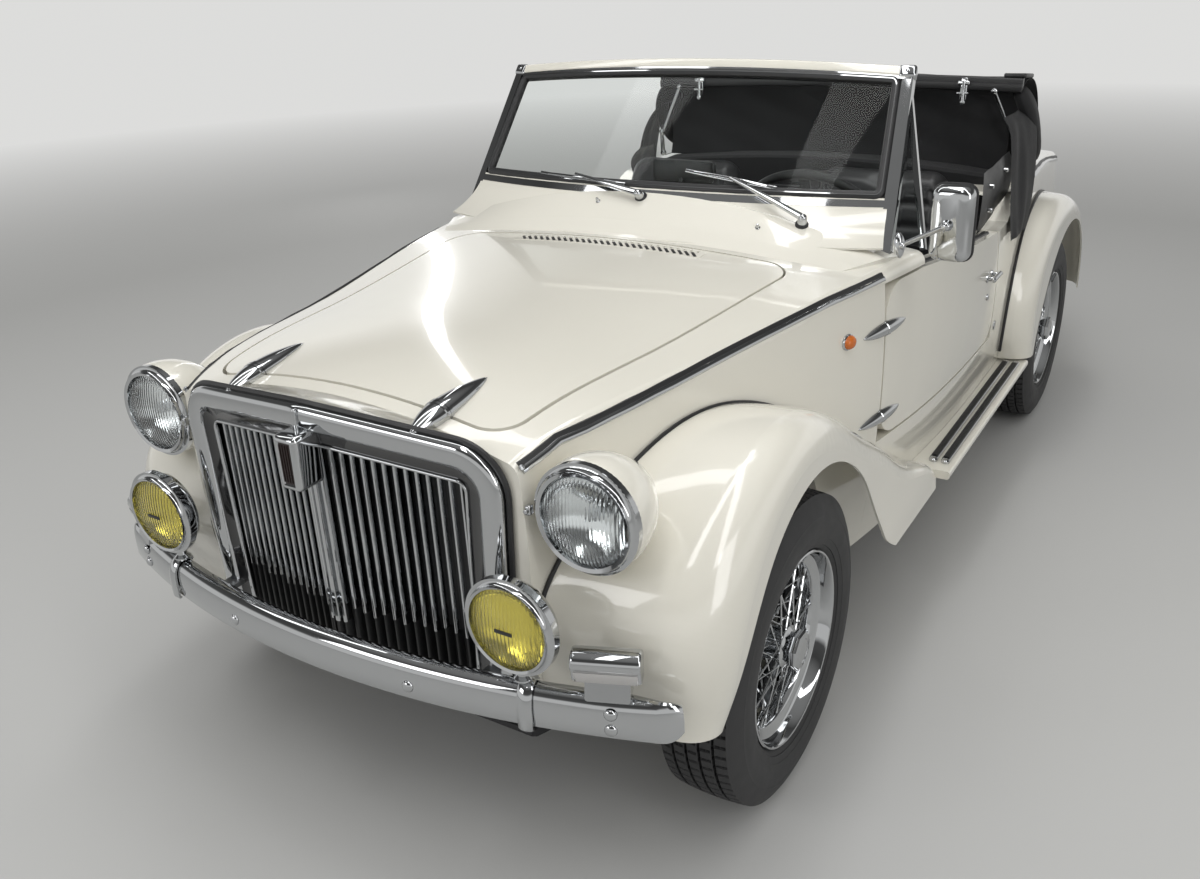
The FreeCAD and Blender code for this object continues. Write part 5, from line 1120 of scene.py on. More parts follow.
# %% Tyres with grooves and cuts
WALL = [(0.056, 0.179), (0.0605, 0.1815), (0.0655, 0.186), (0.069, 0.192), (0.0712, 0.1925),
        (0.0745, 0.205), (0.0752, 0.2052), (0.0775, 0.22), (0.0779, 0.23), (0.0772, 0.24), (0.0758, 0.246),
        (0.0762, 0.2475), (0.0735, 0.256), (0.07, 0.265), (0.0668, 0.272), (0.064, 0.2765)]
RIBS = ((0.062, 0.04), (0.035, 0.0145), (0.0095, -0.0095))
TREAD_STEPS = 240


def tread_radius(depth):
    """The tread is a little lower at its shoulders than in its middle."""
    return 0.287 - 0.0042 * (depth / 0.062) ** 2


def tyre_outline():
    """Half the profile from bead to middle, and its mirror image."""
    half = list(WALL)
    for outer, inner in RIBS:
        half += [(outer, tread_radius(outer) - (0.003 if outer > 0.06 else 0.0008)),
                 (outer - 0.0015, tread_radius(outer))]
        if inner > 0:
            mid = (outer + inner) / 2
            half += [(mid, tread_radius(mid)), (inner + 0.001, tread_radius(inner)),
                     (inner, tread_radius(inner) - 0.001),
                     (inner - 0.0008, 0.2765), (inner - 0.0042, 0.2765)]
    return half + [(-depth, radius) for depth, radius in reversed(half)]


def cut_tread(bm):
    """Pushes every third face of each rib inwards, shifted from rib to rib so the cuts run slanted."""
    chosen = []
    for face in bm.faces:
        spot = face.calc_center_median()
        if Vector((spot.x, spot.y)).length < 0.28 or face.calc_area() < 3.0e-5:
            continue
        step = round(math.degrees(math.atan2(spot.y, spot.x)) / 360 * TREAD_STEPS - 0.5)
        if (step + round(spot.z / 0.0125)) % 3 == 0:
            chosen.append(face)
    bmesh.ops.inset_individual(bm, faces=chosen, thickness=0.0022, depth=-0.005, use_even_offset=True)
    return len(chosen)


for corner in WHEEL_SPOTS:
    bm = bmesh.new()
    lathe(bm, tyre_outline(), Matrix(), TREAD_STEPS)
    bmesh.ops.recalc_face_normals(bm, faces=bm.faces)
    cuts = cut_tread(bm)
    bmesh.ops.transform(bm, matrix=wheel_place(corner), verts=bm.verts)
    tyre = piece(f"treaded_tyre_{corner}", bm, tyre_rubber, f"wheel_{corner}", "tyre", sharp=30)
    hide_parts(f"tyre_{corner}")
    print("cuts:", cuts)

# %% [markdown]
# The windscreen stands in two plated pillars with a painted header. A thick rubber seal goes all round
# inside them, and it is the seal, almost black, that draws the frame in the picture. The frame itself is
# carried over, so only the seal, the header's paint and the small parts on it are new.

# %% Windscreen: places on the slanted, bowed glass
SCREEN_FOOT, SCREEN_HEAD = Vector((0.552, -0.454, 0.928)), Vector((0.52, -0.282, 1.187))
HEADER_Z, FOOT_BOW, HEAD_BOW = 1.209, 0.104, 0.042


def screen_spot(across, up, out=0.0):
    """Point of the glass and its outward direction: across -1 to 1, up 0 at the foot to 1 at the header."""
    edge = SCREEN_FOOT.lerp(SCREEN_HEAD, up)
    bow = FOOT_BOW + (HEAD_BOW - FOOT_BOW) * up
    lift = 0.008 + (HEADER_Z - SCREEN_HEAD.z - 0.008) * up
    fall = 1 - across ** 2
    spot = Vector((edge.x * across, edge.y - bow * fall, edge.z + lift * fall))
    rise = (SCREEN_HEAD - SCREEN_FOOT).normalized()
    side = Vector((edge.x, 2 * bow * across, -2 * lift * across)).normalized()
    return spot + side.cross(rise).normalized() * out, side.cross(rise).normalized()


def screen_at(x, z, out=0.0):
    """Point of the glass at a distance from the middle and a height."""
    low, high = -0.2, 1.1
    for _ in range(30):
        up = (low + high) / 2
        spot = screen_spot(x / SCREEN_FOOT.lerp(SCREEN_HEAD, up).x, up)[0]
        low, high = (up, high) if spot.z < z else (low, up)
    return screen_spot(x / SCREEN_FOOT.lerp(SCREEN_HEAD, up).x, up, out)


def screen_ring(side, low, high, corner_x=0.022, corner_up=0.05):
    """Closed line round the glass with rounded corners, as points and outward directions."""
    pairs = []
    for cx, cu, start in ((side - corner_x, high - corner_up, 0), (-side + corner_x, high - corner_up, 90),
                          (-side + corner_x, low + corner_up, 180),
                          (side - corner_x, low + corner_up, 270)):
        for step in range(7):
            angle = math.radians(start + step * 15)
            pairs.append((cx + corner_x * math.cos(angle), cu + corner_up * math.sin(angle)))
    line = []
    for (a0, u0), (a1, u1) in zip(pairs, pairs[1:] + pairs[:1]):
        parts = 14 if abs(a1 - a0) > 0.5 else 6 if abs(u1 - u0) > 0.5 else 1
        line += [(a0 + (a1 - a0) * k / parts, u0 + (u1 - u0) * k / parts) for k in range(parts)]
    spots = [screen_spot(a, u) for a, u in line]
    return [spot for spot, _ in spots], [way for _, way in spots]


print("screen foot", [round(v, 3) for v in screen_spot(0, 0)[0]], "head",
      [round(v, 3) for v in screen_spot(0, 1)[0]])

# %% Windscreen: rubber seal with its bright filler strip
SEAL = [(-0.0105, -0.005), (-0.0105, 0.006), (-0.0085, 0.0095), (-0.003, 0.011), (0.004, 0.0105),
        (0.0085, 0.007), (0.0105, 0.003), (0.0105, -0.005)]
FILLER = [(-0.0014, 0.0095), (-0.0012, 0.0118), (0.0012, 0.0118), (0.0014, 0.0095)]
seal_line, seal_ways = screen_ring(0.936, 0.07, 0.905)
for name, section, mat, slot in (("screen_seal", SEAL, black_rubber, "black_trim"),
                                 ("screen_filler", FILLER, chrome, "chrome")):
    bm = bmesh.new()
    sweep(bm, seal_line, section, seal_ways, closed=True)
    piece(name, bm, mat, "body", slot)


def rounded_box_section(half_a, half_b, roll, count=4):
    """Section of a bar with rolled corners."""
    points = []
    for sign_a, sign_b, start in ((1, 1, 0), (-1, 1, 90), (-1, -1, 180), (1, -1, 270)):
        for step in range(count + 1):
            angle = math.radians(start + 90 * step / count)
            points.append((sign_a * (half_a - roll) + roll * math.cos(angle),
                           sign_b * (half_b - roll) + roll * math.sin(angle)))
    return points


# %% Windscreen: painted header and chrome corner caps
header = [screen_spot(-0.962 + 1.924 * k / 28, 0.966, -0.002) for k in range(29)]
bm = bmesh.new()
sweep(bm, [spot for spot, _ in header], rounded_box_section(0.0125, 0.013, 0.006),
      [way for _, way in header])
piece("screen_header", bm, ivory, "body", "paint")
bm = bmesh.new()
spot, way = screen_spot(0.972, 0.968, -0.002)
block(bm, (0.04, 0.03, 0.029), facing(spot, way), roll=0.008, segments=4)
lathe(bm, [(0.0, 0.0042), (0.002, 0.0042), (0.0034, 0.0)], facing(spot + way * 0.0142, way), 16)
paired("screen_corner_caps", bm, chrome, "chrome")

# %% [markdown]
# A wiper is a tapered arm from a domed pivot, a thin plated bow, and a rubber blade that lies on the
# glass. All three are swept along short lines, and the points are taken on the glass itself.

# %% Wipers
WIPER_SETS = (((0.0, -0.572), (-0.193, 0.962), (-0.311, 0.96), (-0.052, 0.953)),
              ((0.383, -0.56), (0.2, 0.972), (0.089, 0.986), (0.303, 0.958)))
bright, dark = bmesh.new(), bmesh.new()
for pivot, arm_end, blade_start, blade_end in WIPER_SETS:
    foot, up_way = top_point("front_body", *pivot)
    lean = (up_way + Vector((0, -0.5, 0))).normalized()
    lathe(dark, [(0.0, 0.0), (0.0, 0.0145), (0.005, 0.014), (0.008, 0.0115), (0.009, 0.0)],
          facing(foot - lean * 0.002, lean, (1, 0, 0)), 32)
    lathe(bright, [(0.006, 0.0), (0.006, 0.0105), (0.018, 0.0098), (0.023, 0.008), (0.026, 0.0045),
                   (0.0268, 0.0)], facing(foot, lean, (1, 0, 0)), 32)
    hub = foot + lean * 0.019
    end, out = screen_at(*arm_end, 0.021)
    start = hub + (end - hub).normalized() * 0.004
    middle = start.lerp(end, 0.42) + out * 0.004
    sweep(bright, [start, middle, start.lerp(end, 0.72) + out * 0.002, end],
          rounded_box_section(0.006, 0.0032, 0.0014, 2), lean,
          sizes=[(1.15, 1.5), (0.95, 1.1), (0.6, 0.9), (0.5, 0.8)])
    blade = [screen_at(blade_start[0] + (blade_end[0] - blade_start[0]) * k / 10,
                       blade_start[1] + (blade_end[1] - blade_start[1]) * k / 10, 0.0) for k in range(11)]
    ways = [way for _, way in blade]
    sweep(dark, [spot + way * 0.006 for spot, way in blade],
          [(-0.0006, -0.0032), (-0.0032, 0.004), (0.0032, 0.004), (0.0006, -0.0032)], ways)
    sweep(bright, [spot + way * 0.0112 for spot, way in blade],
          rounded_box_section(0.0036, 0.0022, 0.0012, 2), ways)
    crown = [spot + way * (0.0125 + 0.0075 * math.sin(math.pi * k / 8))
             for k, (spot, way) in enumerate(blade[1:10])]
    sweep(bright, crown, rounded_box_section(0.0028, 0.0015, 0.0008, 2), ways[1:10])
wiper_arms = piece("wiper_arms", bright, chrome, "body", "chrome")
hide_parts("wipers")
piece("wiper_rubbers", dark, black_rubber, "body", "black_trim")
bm = bmesh.new()
for x, y in ((-0.105, -0.588), (0.3, -0.6)):
    spot, way = top_point("front_body", x, y)
    lathe(bm, [(-0.001, 0.0), (-0.001, 0.0058), (0.0016, 0.0055), (0.003, 0.0036), (0.0085, 0.0034),
               (0.011, 0.002), (0.0112, 0.0)], facing(spot, way, (1, 0, 0)), 20)
piece("washer_jets", bm, chrome, "body", "chrome")

# %% [markdown]
# The door mirror is a plated shell with a black rim. One rounded section is drawn backwards and grows
# over the first few steps, which gives the domed back without any hand-made faces.

# %% Mirrors
MIRROR_MIDDLE = Vector((0.704, -0.605, 0.9365))
INNER_MIRROR = Vector((0.03, -0.418, 0.97))
MIRROR_SECTION = rounded_box_section(0.04, 0.0735, 0.02, 6)
DOME = ((-0.0175, 0.5, 0.72), (-0.0165, 0.68, 0.83), (-0.0135, 0.83, 0.915), (-0.008, 0.94, 0.97),
        (0.0, 0.99, 0.995), (0.013, 1.0, 1.0))
bm = bmesh.new()
sweep(bm, [MIRROR_MIDDLE + Vector((0, depth, 0)) for depth, _, _ in DOME], MIRROR_SECTION,
      sizes=[(w, h) for _, w, h in DOME])
knob = MIRROR_MIDDLE + Vector((-0.004, -0.017, 0.0))
lathe(bm, [(-0.002, 0.0), (-0.002, 0.011), (0.003, 0.011), (0.008, 0.0085), (0.012, 0.009), (0.016, 0.006),
           (0.017, 0.0)], facing(knob, AHEAD), 32)
foot = Vector((0.604, -0.593, 0.883))
foot_way = Vector((0.75, -0.65, 0.15)).normalized()
lathe(bm, [(-0.008, 0.0), (-0.008, 0.0115), (-0.002, 0.0118), (0.003, 0.0095), (0.006, 0.005),
           (0.0066, 0.0)], facing(foot, foot_way) @ Matrix.Diagonal((1.0, 2.15, 1.0, 1.0)), 40)
rod(bm, foot + foot_way * 0.002, knob + Vector((0, -0.009, 0)), 0.0048, 16)
lathe(bm, [(-0.0075, 0.0), (-0.0055, 0.005), (0.0, 0.0075), (0.0055, 0.005), (0.0075, 0.0)],
      facing(foot + foot_way * 0.008, foot_way), 24)
mirror_shell = piece("door_mirror_shell", bm, chrome, "body", "chrome", sharp=50)
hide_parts("mirrors")
bm = bmesh.new()
rim = [MIRROR_MIDDLE + Vector((a, 0.0145, b)) for a, b in MIRROR_SECTION]
sweep(bm, rim, round_section(0.003, 8), REARWARD, closed=True)
sweep(bm, [INNER_MIRROR + Vector((0, depth, 0)) for depth in (-0.01, -0.006, 0.008)],
      rounded_box_section(0.08, 0.025, 0.01, 4), sizes=[(0.94, 0.86), (1.0, 1.0), (1.0, 1.0)])
rod(bm, (0.028, -0.424, 0.955), (0.028, -0.448, 0.915), 0.0055, 12)
lathe(bm, [(0.0, 0.0), (0.0, 0.018), (0.004, 0.016), (0.009, 0.007), (0.0095, 0.0)],
      facing((0.028, -0.45, 0.911), (0, 0.35, 1)), 24)
piece("mirror_rims", bm, black_rubber, "body", "black_trim")
bm = bmesh.new()
for middle, half_x, half_z, depth in ((MIRROR_MIDDLE, 0.0385, 0.072, 0.014),
                                      (INNER_MIRROR, 0.0765, 0.022, 0.0086)):
    sweep(bm, [middle + Vector((0, depth - 0.001, 0)), middle + Vector((0, depth, 0))],
          rounded_box_section(half_x, half_z, 0.012, 5))
piece("mirror_panes", bm, mirror_glass, "body", "chrome")

# %% [markdown]
# Small bright parts sit on the doors and sides: the push-button handle with its lock, a jacking point
# cover, and the orange side lamp ahead of the door.

# %% Handles, locks and side lamps
# y and z on the left side
HANDLE_SPOT, LOCK_SPOT = (0.099, 0.648), (0.09, 0.595)
COVER_SPOT, SIDE_LAMP_SPOT = (0.234, 0.477), (-0.747, 0.722)
for side_name, sign in SIDES:
    bm = bmesh.new()
    spot, way = side_point("door_left", *HANDLE_SPOT)
    place = facing(spot, way)
    for along in (-0.026, 0.026):
        lathe(bm, [(-0.002, 0.0), (-0.002, 0.0105), (0.003, 0.01), (0.005, 0.006), (0.017, 0.0056),
                   (0.02, 0.0)], place @ Matrix.Translation((along, 0, 0)), 24)
    rod(bm, place @ Vector((-0.036, 0, 0.0195)), place @ Vector((0.036, 0, 0.0195)), 0.0066, 16)
    for along, way_x in ((-0.036, -1), (0.036, 1)):
        lathe(bm, [(0.0, 0.0066), (0.003, 0.006), (0.0055, 0.004), (0.0064, 0.0)],
              place @ Matrix.Translation((along, 0, 0.0195)) @ Matrix.Rotation(way_x * math.pi / 2, 4, "Y"),
              20)
    lathe(bm, [(-0.001, 0.0), (-0.001, 0.0085), (0.0035, 0.008), (0.005, 0.0045), (0.0052, 0.0)],
          facing(*side_point("door_left", *LOCK_SPOT)), 24)
    onto_side(bm, sign)
    piece(f"door_handle_{side_name}", bm, chrome, f"door_{side_name}", "chrome")
bright, lens = bmesh.new(), bmesh.new()
place = facing(*side_point("rear_body", *COVER_SPOT)) @ Matrix.Diagonal((1.0, 1.35, 1.0, 1.0))
lathe(bright, [(-0.001, 0.0), (-0.001, 0.01), (0.002, 0.0095), (0.0032, 0.006), (0.0024, 0.0)], place, 32)
place = facing(*side_point("front_body", *SIDE_LAMP_SPOT)) @ Matrix.Diagonal((1.25, 1.0, 1.0, 1.0))
lathe(bright, [(-0.002, 0.0), (-0.002, 0.0165), (0.003, 0.016), (0.0048, 0.014), (0.0048, 0.0)], place, 32)
lathe(lens, [(0.003, 0.0), (0.003, 0.0142), (0.008, 0.0135), (0.0125, 0.0105), (0.015, 0.0055),
             (0.0156, 0.0)], place, 32)
both_sides(bright)
both_sides(lens)
piece("side_fittings", bright, chrome, "body", "chrome")
piece("side_lamp_lenses", lens, orange_glass, "body", "amber_glass")

# %% [markdown]
# The folded soft top stands behind the seats. It is one sheet of canvas, folded down in zigzag layers
# behind a stiff front rail. A grid is bent along the line of the folds and given small waves, because
# canvas never lies quite straight. The lining and the loose side flaps are sheets of their own.

# %% Helper: a sheet of cloth bent into shape
def smooth_line(points, rounds=2):
    """Cuts the corners of a line of points, so that folds turn softly."""
    for _ in range(rounds):
        finer = [points[0]]
        for a, b in zip(points, points[1:]):
            finer += [tuple(p * 0.75 + q * 0.25 for p, q in zip(a, b)),
                      tuple(p * 0.25 + q * 0.75 for p, q in zip(a, b))]
        points = finer + [points[-1]]
    return points


def along_line(points, share):
    """Point at a share of a line's steps."""
    place = share * (len(points) - 1)
    low = min(int(place), len(points) - 2)
    return [p + (q - p) * (place - low) for p, q in zip(points[low], points[low + 1])]


def cloth_sheet(name, shape, across, down, thick, mat, slot):
    """Bends a grid with shape(u, v), gives it thickness, and prints its flat size."""
    bm = bmesh.new()
    bmesh.ops.create_grid(bm, x_segments=across, y_segments=down, size=0.5)
    for vert in bm.verts:
        vert.co = Vector(shape(vert.co.x + 0.5, vert.co.y + 0.5))
    area = sum(face.calc_area() for face in bm.faces)
    width = max(sum((Vector(shape((k + 1) / 40, v)) - Vector(shape(k / 40, v))).length for k in range(40))
                for v in (0.1, 0.5, 0.9))
    length = max(sum((Vector(shape(u, (k + 1) / 160)) - Vector(shape(u, k / 160))).length
                     for k in range(160)) for u in (0.1, 0.5, 0.9))
    bmesh.ops.solidify(bm, geom=bm.faces[:], thickness=thick)
    made = piece(name, bm, mat, "body", slot, sharp=60)
    print(name, "flat size", round(width, 3), round(length, 3))
    return made


# %% Folded canvas
FOLDS = smooth_line([(0.612, 0.99), (0.609, 1.045), (0.618, 1.072), (0.65, 1.083), (0.705, 1.081),
                     (0.765, 1.06), (0.815, 1.018), (0.855, 0.96), (0.888, 0.902), (0.908, 0.868),
                     (0.902, 0.85), (0.88, 0.85), (0.85, 0.885), (0.8, 0.955), (0.752, 1.01),
                     (0.705, 1.045), (0.668, 1.05), (0.652, 1.032), (0.668, 1.008), (0.715, 0.978),
                     (0.765, 0.928), (0.798, 0.872), (0.812, 0.846), (0.798, 0.836), (0.77, 0.856),
                     (0.722, 0.914), (0.674, 0.955), (0.644, 0.958), (0.636, 0.934), (0.652, 0.893),
                     (0.668, 0.858), (0.674, 0.838)])


def folded(u, v):
    """The canvas along its folds, with small waves and drooping ends."""
    y, z = along_line(FOLDS, v)
    x = 0.566 * (2 * u - 1)
    wave = math.sin(11 * u + 7 * v) + 0.6 * math.sin(23 * u - 13 * v)
    edge = abs(2 * u - 1) ** 6
    return (x * (1 + 0.012 * math.sin(9 * v)),
            y + 0.003 * wave - 0.01 * edge * (z - 0.9), z + 0.0022 * wave - 0.006 * edge)



canvas = cloth_sheet("top_canvas", folded, 56, 190, 0.0022, black_cloth, "cloth")
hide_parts("soft_top")


# %% Lining, flaps and quarter panels
def lining(u, v):
    """Front lining of the folded top, hung from the rail to the deck."""
    x = 0.545 * (2 * u - 1)
    drop = 1 - v
    fine = 0.0045 * math.sin(30 * u + 5 * v) * drop
    broad = 0.004 * math.sin(9 * u * math.pi + 14 * v) * v
    sag = 0.01 * math.sin(math.pi * drop) + fine + broad
    return (x, 0.605 - 0.018 * drop + sag * 0.9, 0.834 + 0.215 * v - 0.01 * math.sin(math.pi * u))


cloth_sheet("top_lining", lining, 60, 24, 0.0018, black_cloth, "cloth")
# the driver's side has come loose and hangs forward, the passenger's side is tucked in
FLAP_FRONT = {
    "left": smooth_line([(0.56, 0.44, 0.995), (0.59, 0.4, 0.97), (0.606, 0.365, 0.915), (0.62, 0.325, 0.85),
                         (0.632, 0.29, 0.79), (0.642, 0.27, 0.74), (0.645, 0.28, 0.7)]),
    "right": smooth_line([(0.545, 0.6, 1.0), (0.585, 0.56, 0.985), (0.612, 0.53, 0.93), (0.629, 0.52, 0.86),
                          (0.638, 0.52, 0.8), (0.644, 0.52, 0.745), (0.645, 0.53, 0.71)])}
FLAP_REAR = {
    "left": smooth_line([(0.575, 0.68, 1.0), (0.604, 0.64, 0.98), (0.622, 0.6, 0.93), (0.633, 0.57, 0.87),
                         (0.64, 0.54, 0.81), (0.645, 0.5, 0.745), (0.646, 0.46, 0.7)]),
    "right": smooth_line([(0.575, 0.69, 1.0), (0.608, 0.68, 0.985), (0.628, 0.67, 0.93),
                          (0.636, 0.66, 0.87),
                          (0.64, 0.65, 0.81), (0.644, 0.64, 0.745), (0.645, 0.62, 0.71)])}
PANEL_FRONT = {
    "left": smooth_line([(0.594, 0.1, 0.752), (0.602, 0.085, 0.8), (0.602, 0.095, 0.86),
                         (0.592, 0.13, 0.9)]),
    "right": smooth_line([(0.59, 0.4, 0.8), (0.596, 0.395, 0.83), (0.594, 0.42, 0.855),
                          (0.584, 0.45, 0.87)])}
PANEL_REAR = {
    "left": smooth_line([(0.594, 0.43, 0.802), (0.602, 0.425, 0.84), (0.602, 0.415, 0.885),
                         (0.592, 0.4, 0.915)]),
    "right": smooth_line([(0.59, 0.56, 0.822), (0.596, 0.555, 0.84), (0.594, 0.545, 0.858),
                          (0.584, 0.54, 0.87)])}


def flap_shape(sign, front, rear, ripple):
    """Shape of a hanging cloth between its front and rear edge, with ripples."""
    def shape(u, v):
        a, b = along_line(front, v), along_line(rear, v)
        spot = Vector(a).lerp(Vector(b), u)
        wave = math.sin(7 * u + 5 * v) + 0.5 * math.sin(17 * u - 3 * v)
        spot.x += ripple * wave * math.sin(math.pi * min(u * 1.2, 1))
        spot.x *= sign
        return spot
    return shape


for side_name, sign in SIDES:
    flap = flap_shape(sign, FLAP_FRONT[side_name], FLAP_REAR[side_name], 0.0035)
    cloth_sheet(f"top_flap_{side_name}", flap, 24, 40, 0.0022, black_cloth, "cloth")
    panel = flap_shape(sign, PANEL_FRONT[side_name], PANEL_REAR[side_name], 0.0022)
    cloth_sheet(f"quarter_panel_{side_name}", panel, 28, 20, 0.003, black_vinyl, "vinyl")


# %% Liner between the folded top and the seats
def liner(u, v):
    """From under the rail forward over the deck's edge and down behind the seats."""
    x = 0.535 * (2 * u - 1)
    if v > 0.55:
        y = 0.503 + 0.1 * (v - 0.55) / 0.45
        return (x, y, top_point("rear_body", x, max(y, 0.526))[0].z + 0.0035)
    drop = 1 - v / 0.55
    edge = top_point("rear_body", x, 0.526)[0].z + 0.0015
    return (x, 0.4965 - 0.006 * math.sin(3 * drop) + 0.003 * math.sin(26 * u) * drop, edge - 0.23 * drop)


cloth_sheet("well_liner", liner, 48, 24, 0.0016, black_cloth, "cloth")


# %% Side rolls of the folded canvas
ROLL_LINE = smooth_line([(0.56, 0.606, 1.05), (0.584, 0.618, 1.01), (0.594, 0.646, 0.955),
                         (0.596, 0.69, 0.905), (0.59, 0.74, 0.87), (0.575, 0.78, 0.855)])


def roll_size(share):
    """Width and height of a roll along its length: slim ends and an uneven middle."""
    body = math.sin(math.pi * min(share * 1.1, 1.0)) ** 0.5
    return (0.45 + 0.55 * body + 0.05 * math.sin(9.0 * share), 0.4 + 0.6 * body)


for side_name, sign in SIDES:
    bm = bmesh.new()
    line = [Vector((sign * x, y, z)) for x, y, z in ROLL_LINE]
    sizes = [roll_size(k / (len(line) - 1)) for k in range(len(line))]
    section = [((0.044 + 0.004 * math.sin(5 * t)) * math.cos(t),
                (0.026 + 0.003 * math.sin(3 * t)) * math.sin(t))
               for t in [math.tau * k / 24 for k in range(24)]]
    sweep(bm, line, section, Vector((sign, 0, 0.35)), sizes=sizes)
    bmesh.ops.smooth_vert(bm, verts=bm.verts, factor=0.5, use_axis_x=True, use_axis_y=True, use_axis_z=True)
    roll = piece(f"top_roll_{side_name}", bm, black_cloth, "body", "cloth", sharp=70)

# %% [markdown]
# The front rail of the top is a covered bow with two plated over-centre latches that hook into the
# windscreen header. Slim arms fold flat beside it.

# %% Front rail, latches and folding arms
def rail_spot(share):
    """Point of the rail from right to left, bowed forward and up in its middle."""
    across = 2 * share - 1
    bow = 1 - across ** 2
    return Vector((0.572 * across, 0.5885 - 0.016 * bow, 1.064 + 0.012 * bow))


rail_line = [rail_spot(k / 24) for k in range(25)]
bm = bmesh.new()
sweep(bm, rail_line, rounded_box_section(0.014, 0.019, 0.005, 3))
sweep(bm, [spot + Vector((0, -0.0165, -0.006)) for spot in rail_line],
      rounded_box_section(0.0035, 0.0105, 0.003, 2))
for sign in (-1, 1):
    block(bm, (0.06, 0.11, 0.012), facing((sign * 0.548, 0.64, 1.085), (0, 0.1, 1), REARWARD), roll=0.004)
rail = piece("top_rail", bm, black_vinyl, "body", "black_trim")
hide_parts("soft_top_frame")
FOLDING_ARM = ((0.5, 0.57, 1.05), (0.572, 0.578, 0.9), (0.578, 0.59, 0.832))
bright = bmesh.new()
for sign in (-1, 1):
    spot = Vector((sign * 0.418, 0.558, 1.056))
    place = facing(spot, (0, -1, 0.1))
    block(bright, (0.018, 0.06, 0.005), place, roll=0.0018)
    block(bright, (0.034, 0.012, 0.009), place @ Matrix.Translation((0, 0.016, 0.006)), roll=0.003)
    rod(bright, place @ Vector((0, 0.02, 0.008)), place @ Vector((0.004, -0.036, 0.016)), 0.0045, 12)
    rod(bright, place @ Vector((-0.016, -0.012, 0.01)), place @ Vector((0.016, -0.012, 0.01)), 0.0034, 12)
    lathe(bright, [(0.0, 0.0), (0.0, 0.0075), (0.005, 0.007), (0.007, 0.0)],
          place @ Matrix.Translation((0.004, -0.036, 0.012)), 20)
    arm_top, arm_knee, arm_foot = [Vector((sign * x, y, z)) for x, y, z in FOLDING_ARM]
    sweep(bright, [arm_top, arm_knee], rounded_box_section(0.005, 0.0026, 0.0012, 2), AHEAD)
    sweep(bright, [arm_knee + Vector((0, -0.006, 0.01)), arm_foot],
          rounded_box_section(0.0065, 0.003, 0.0012, 2), AHEAD)
    for joint in (arm_top, arm_knee + Vector((0, -0.004, 0.004)), arm_foot):
        lathe(bright, [(-0.006, 0.0), (-0.006, 0.0085), (0.004, 0.0085), (0.007, 0.005), (0.0075, 0.0)],
              facing(joint, AHEAD), 20)
for y, z in ((0.17, 0.862), (0.176, 0.8), (0.32, 0.878)):
    lathe(bright, [(-0.006, 0.0), (-0.006, 0.0062), (0.003, 0.0058), (0.0046, 0.0034), (0.0048, 0.0)],
          facing((0.607, y, z), (1, 0, 0)), 16)
piece("top_metalwork", bright, chrome, "body", "chrome")

# %% [markdown]
# The seats are black vinyl over foam. A rounded form is remeshed into an even net and swells under
# pressure in a short cloth simulation, and then the sewn channels are pressed into it.

# %% Helper: stuffed forms
def stuffed(name, size, place, roll, cap, voxel, press, mat=black_vinyl, body="body"):
    """A pad of a size at a place; cap is how far the pressure may move it, press carves its channels."""
    bm = bmesh.new()
    block(bm, tuple(side - 2 * cap * 0.55 for side in size), Matrix(), roll=roll, segments=6)
    mesh = bpy.data.meshes.new(name)
    bm.to_mesh(mesh)
    bm.free()
    pad = bpy.data.objects.new(name, mesh)
    bpy.context.scene.collection.objects.link(pad)
    net = pad.modifiers.new("net", "REMESH")
    net.mode, net.voxel_size = "VOXEL", voxel
    depsgraph = bpy.context.evaluated_depsgraph_get()
    start = bpy.data.meshes.new_from_object(pad.evaluated_get(depsgraph))
    pad.modifiers.clear()
    pad.data = start
    rest = [vert.co.copy() for vert in start.vertices]
    cloth = pad.modifiers.new("swell", "CLOTH")
    cloth.settings.use_pressure = True
    cloth.settings.uniform_pressure_force = 4.0
    cloth.settings.effector_weights.gravity = 0.0
    cloth.settings.quality = 4
    for number in range(1, 21):
        bpy.context.scene.frame_set(number)
    depsgraph = bpy.context.evaluated_depsgraph_get()
    swollen = bpy.data.meshes.new_from_object(pad.evaluated_get(depsgraph))
    for vert, new, old in zip(start.vertices, swollen.vertices, rest):
        move = new.co - old
        if move.length > cap:
            move *= cap / move.length
        vert.co = old + move
    pad.modifiers.clear()
    bpy.data.meshes.remove(swollen)
    bpy.context.scene.frame_set(1)
    bm = bmesh.new()
    bm.from_mesh(start)
    bpy.data.objects.remove(pad)
    for _ in range(2):
        bmesh.ops.smooth_vert(bm, verts=bm.verts, factor=0.5, use_axis_x=True, use_axis_y=True,
                              use_axis_z=True)
    for vert in bm.verts:
        press(vert)
    bmesh.ops.transform(bm, matrix=place, verts=bm.verts)
    made = piece(name, bm, mat, body, "vinyl", sharp=80)
    finer = made.modifiers.new("finer", "SUBSURF")
    finer.levels = finer.render_levels = 1
    return made


def channel(distance, width, depth):
    """Depth of a sewn channel at a distance from its seam."""
    return depth * math.exp(-(distance / width) ** 2)


# %% Seats
SEAT_X, SEAT_WIDE = 0.305, 0.446
CUSHION_TURN, BACK_TURN = math.radians(4), math.radians(16)
ROLL_SEAM_X = 0.156
BACK_SEAMS = (-0.17, -0.105, -0.04, 0.025, 0.09, 0.15)
CUSHION_SEAMS = (-0.15, -0.09, -0.03, 0.03, 0.09, 0.15)


def pleated(x):
    """1 between the two side rolls and 0 on them."""
    return 0.5 - 0.5 * math.tanh((abs(x) - 0.15) / 0.006)


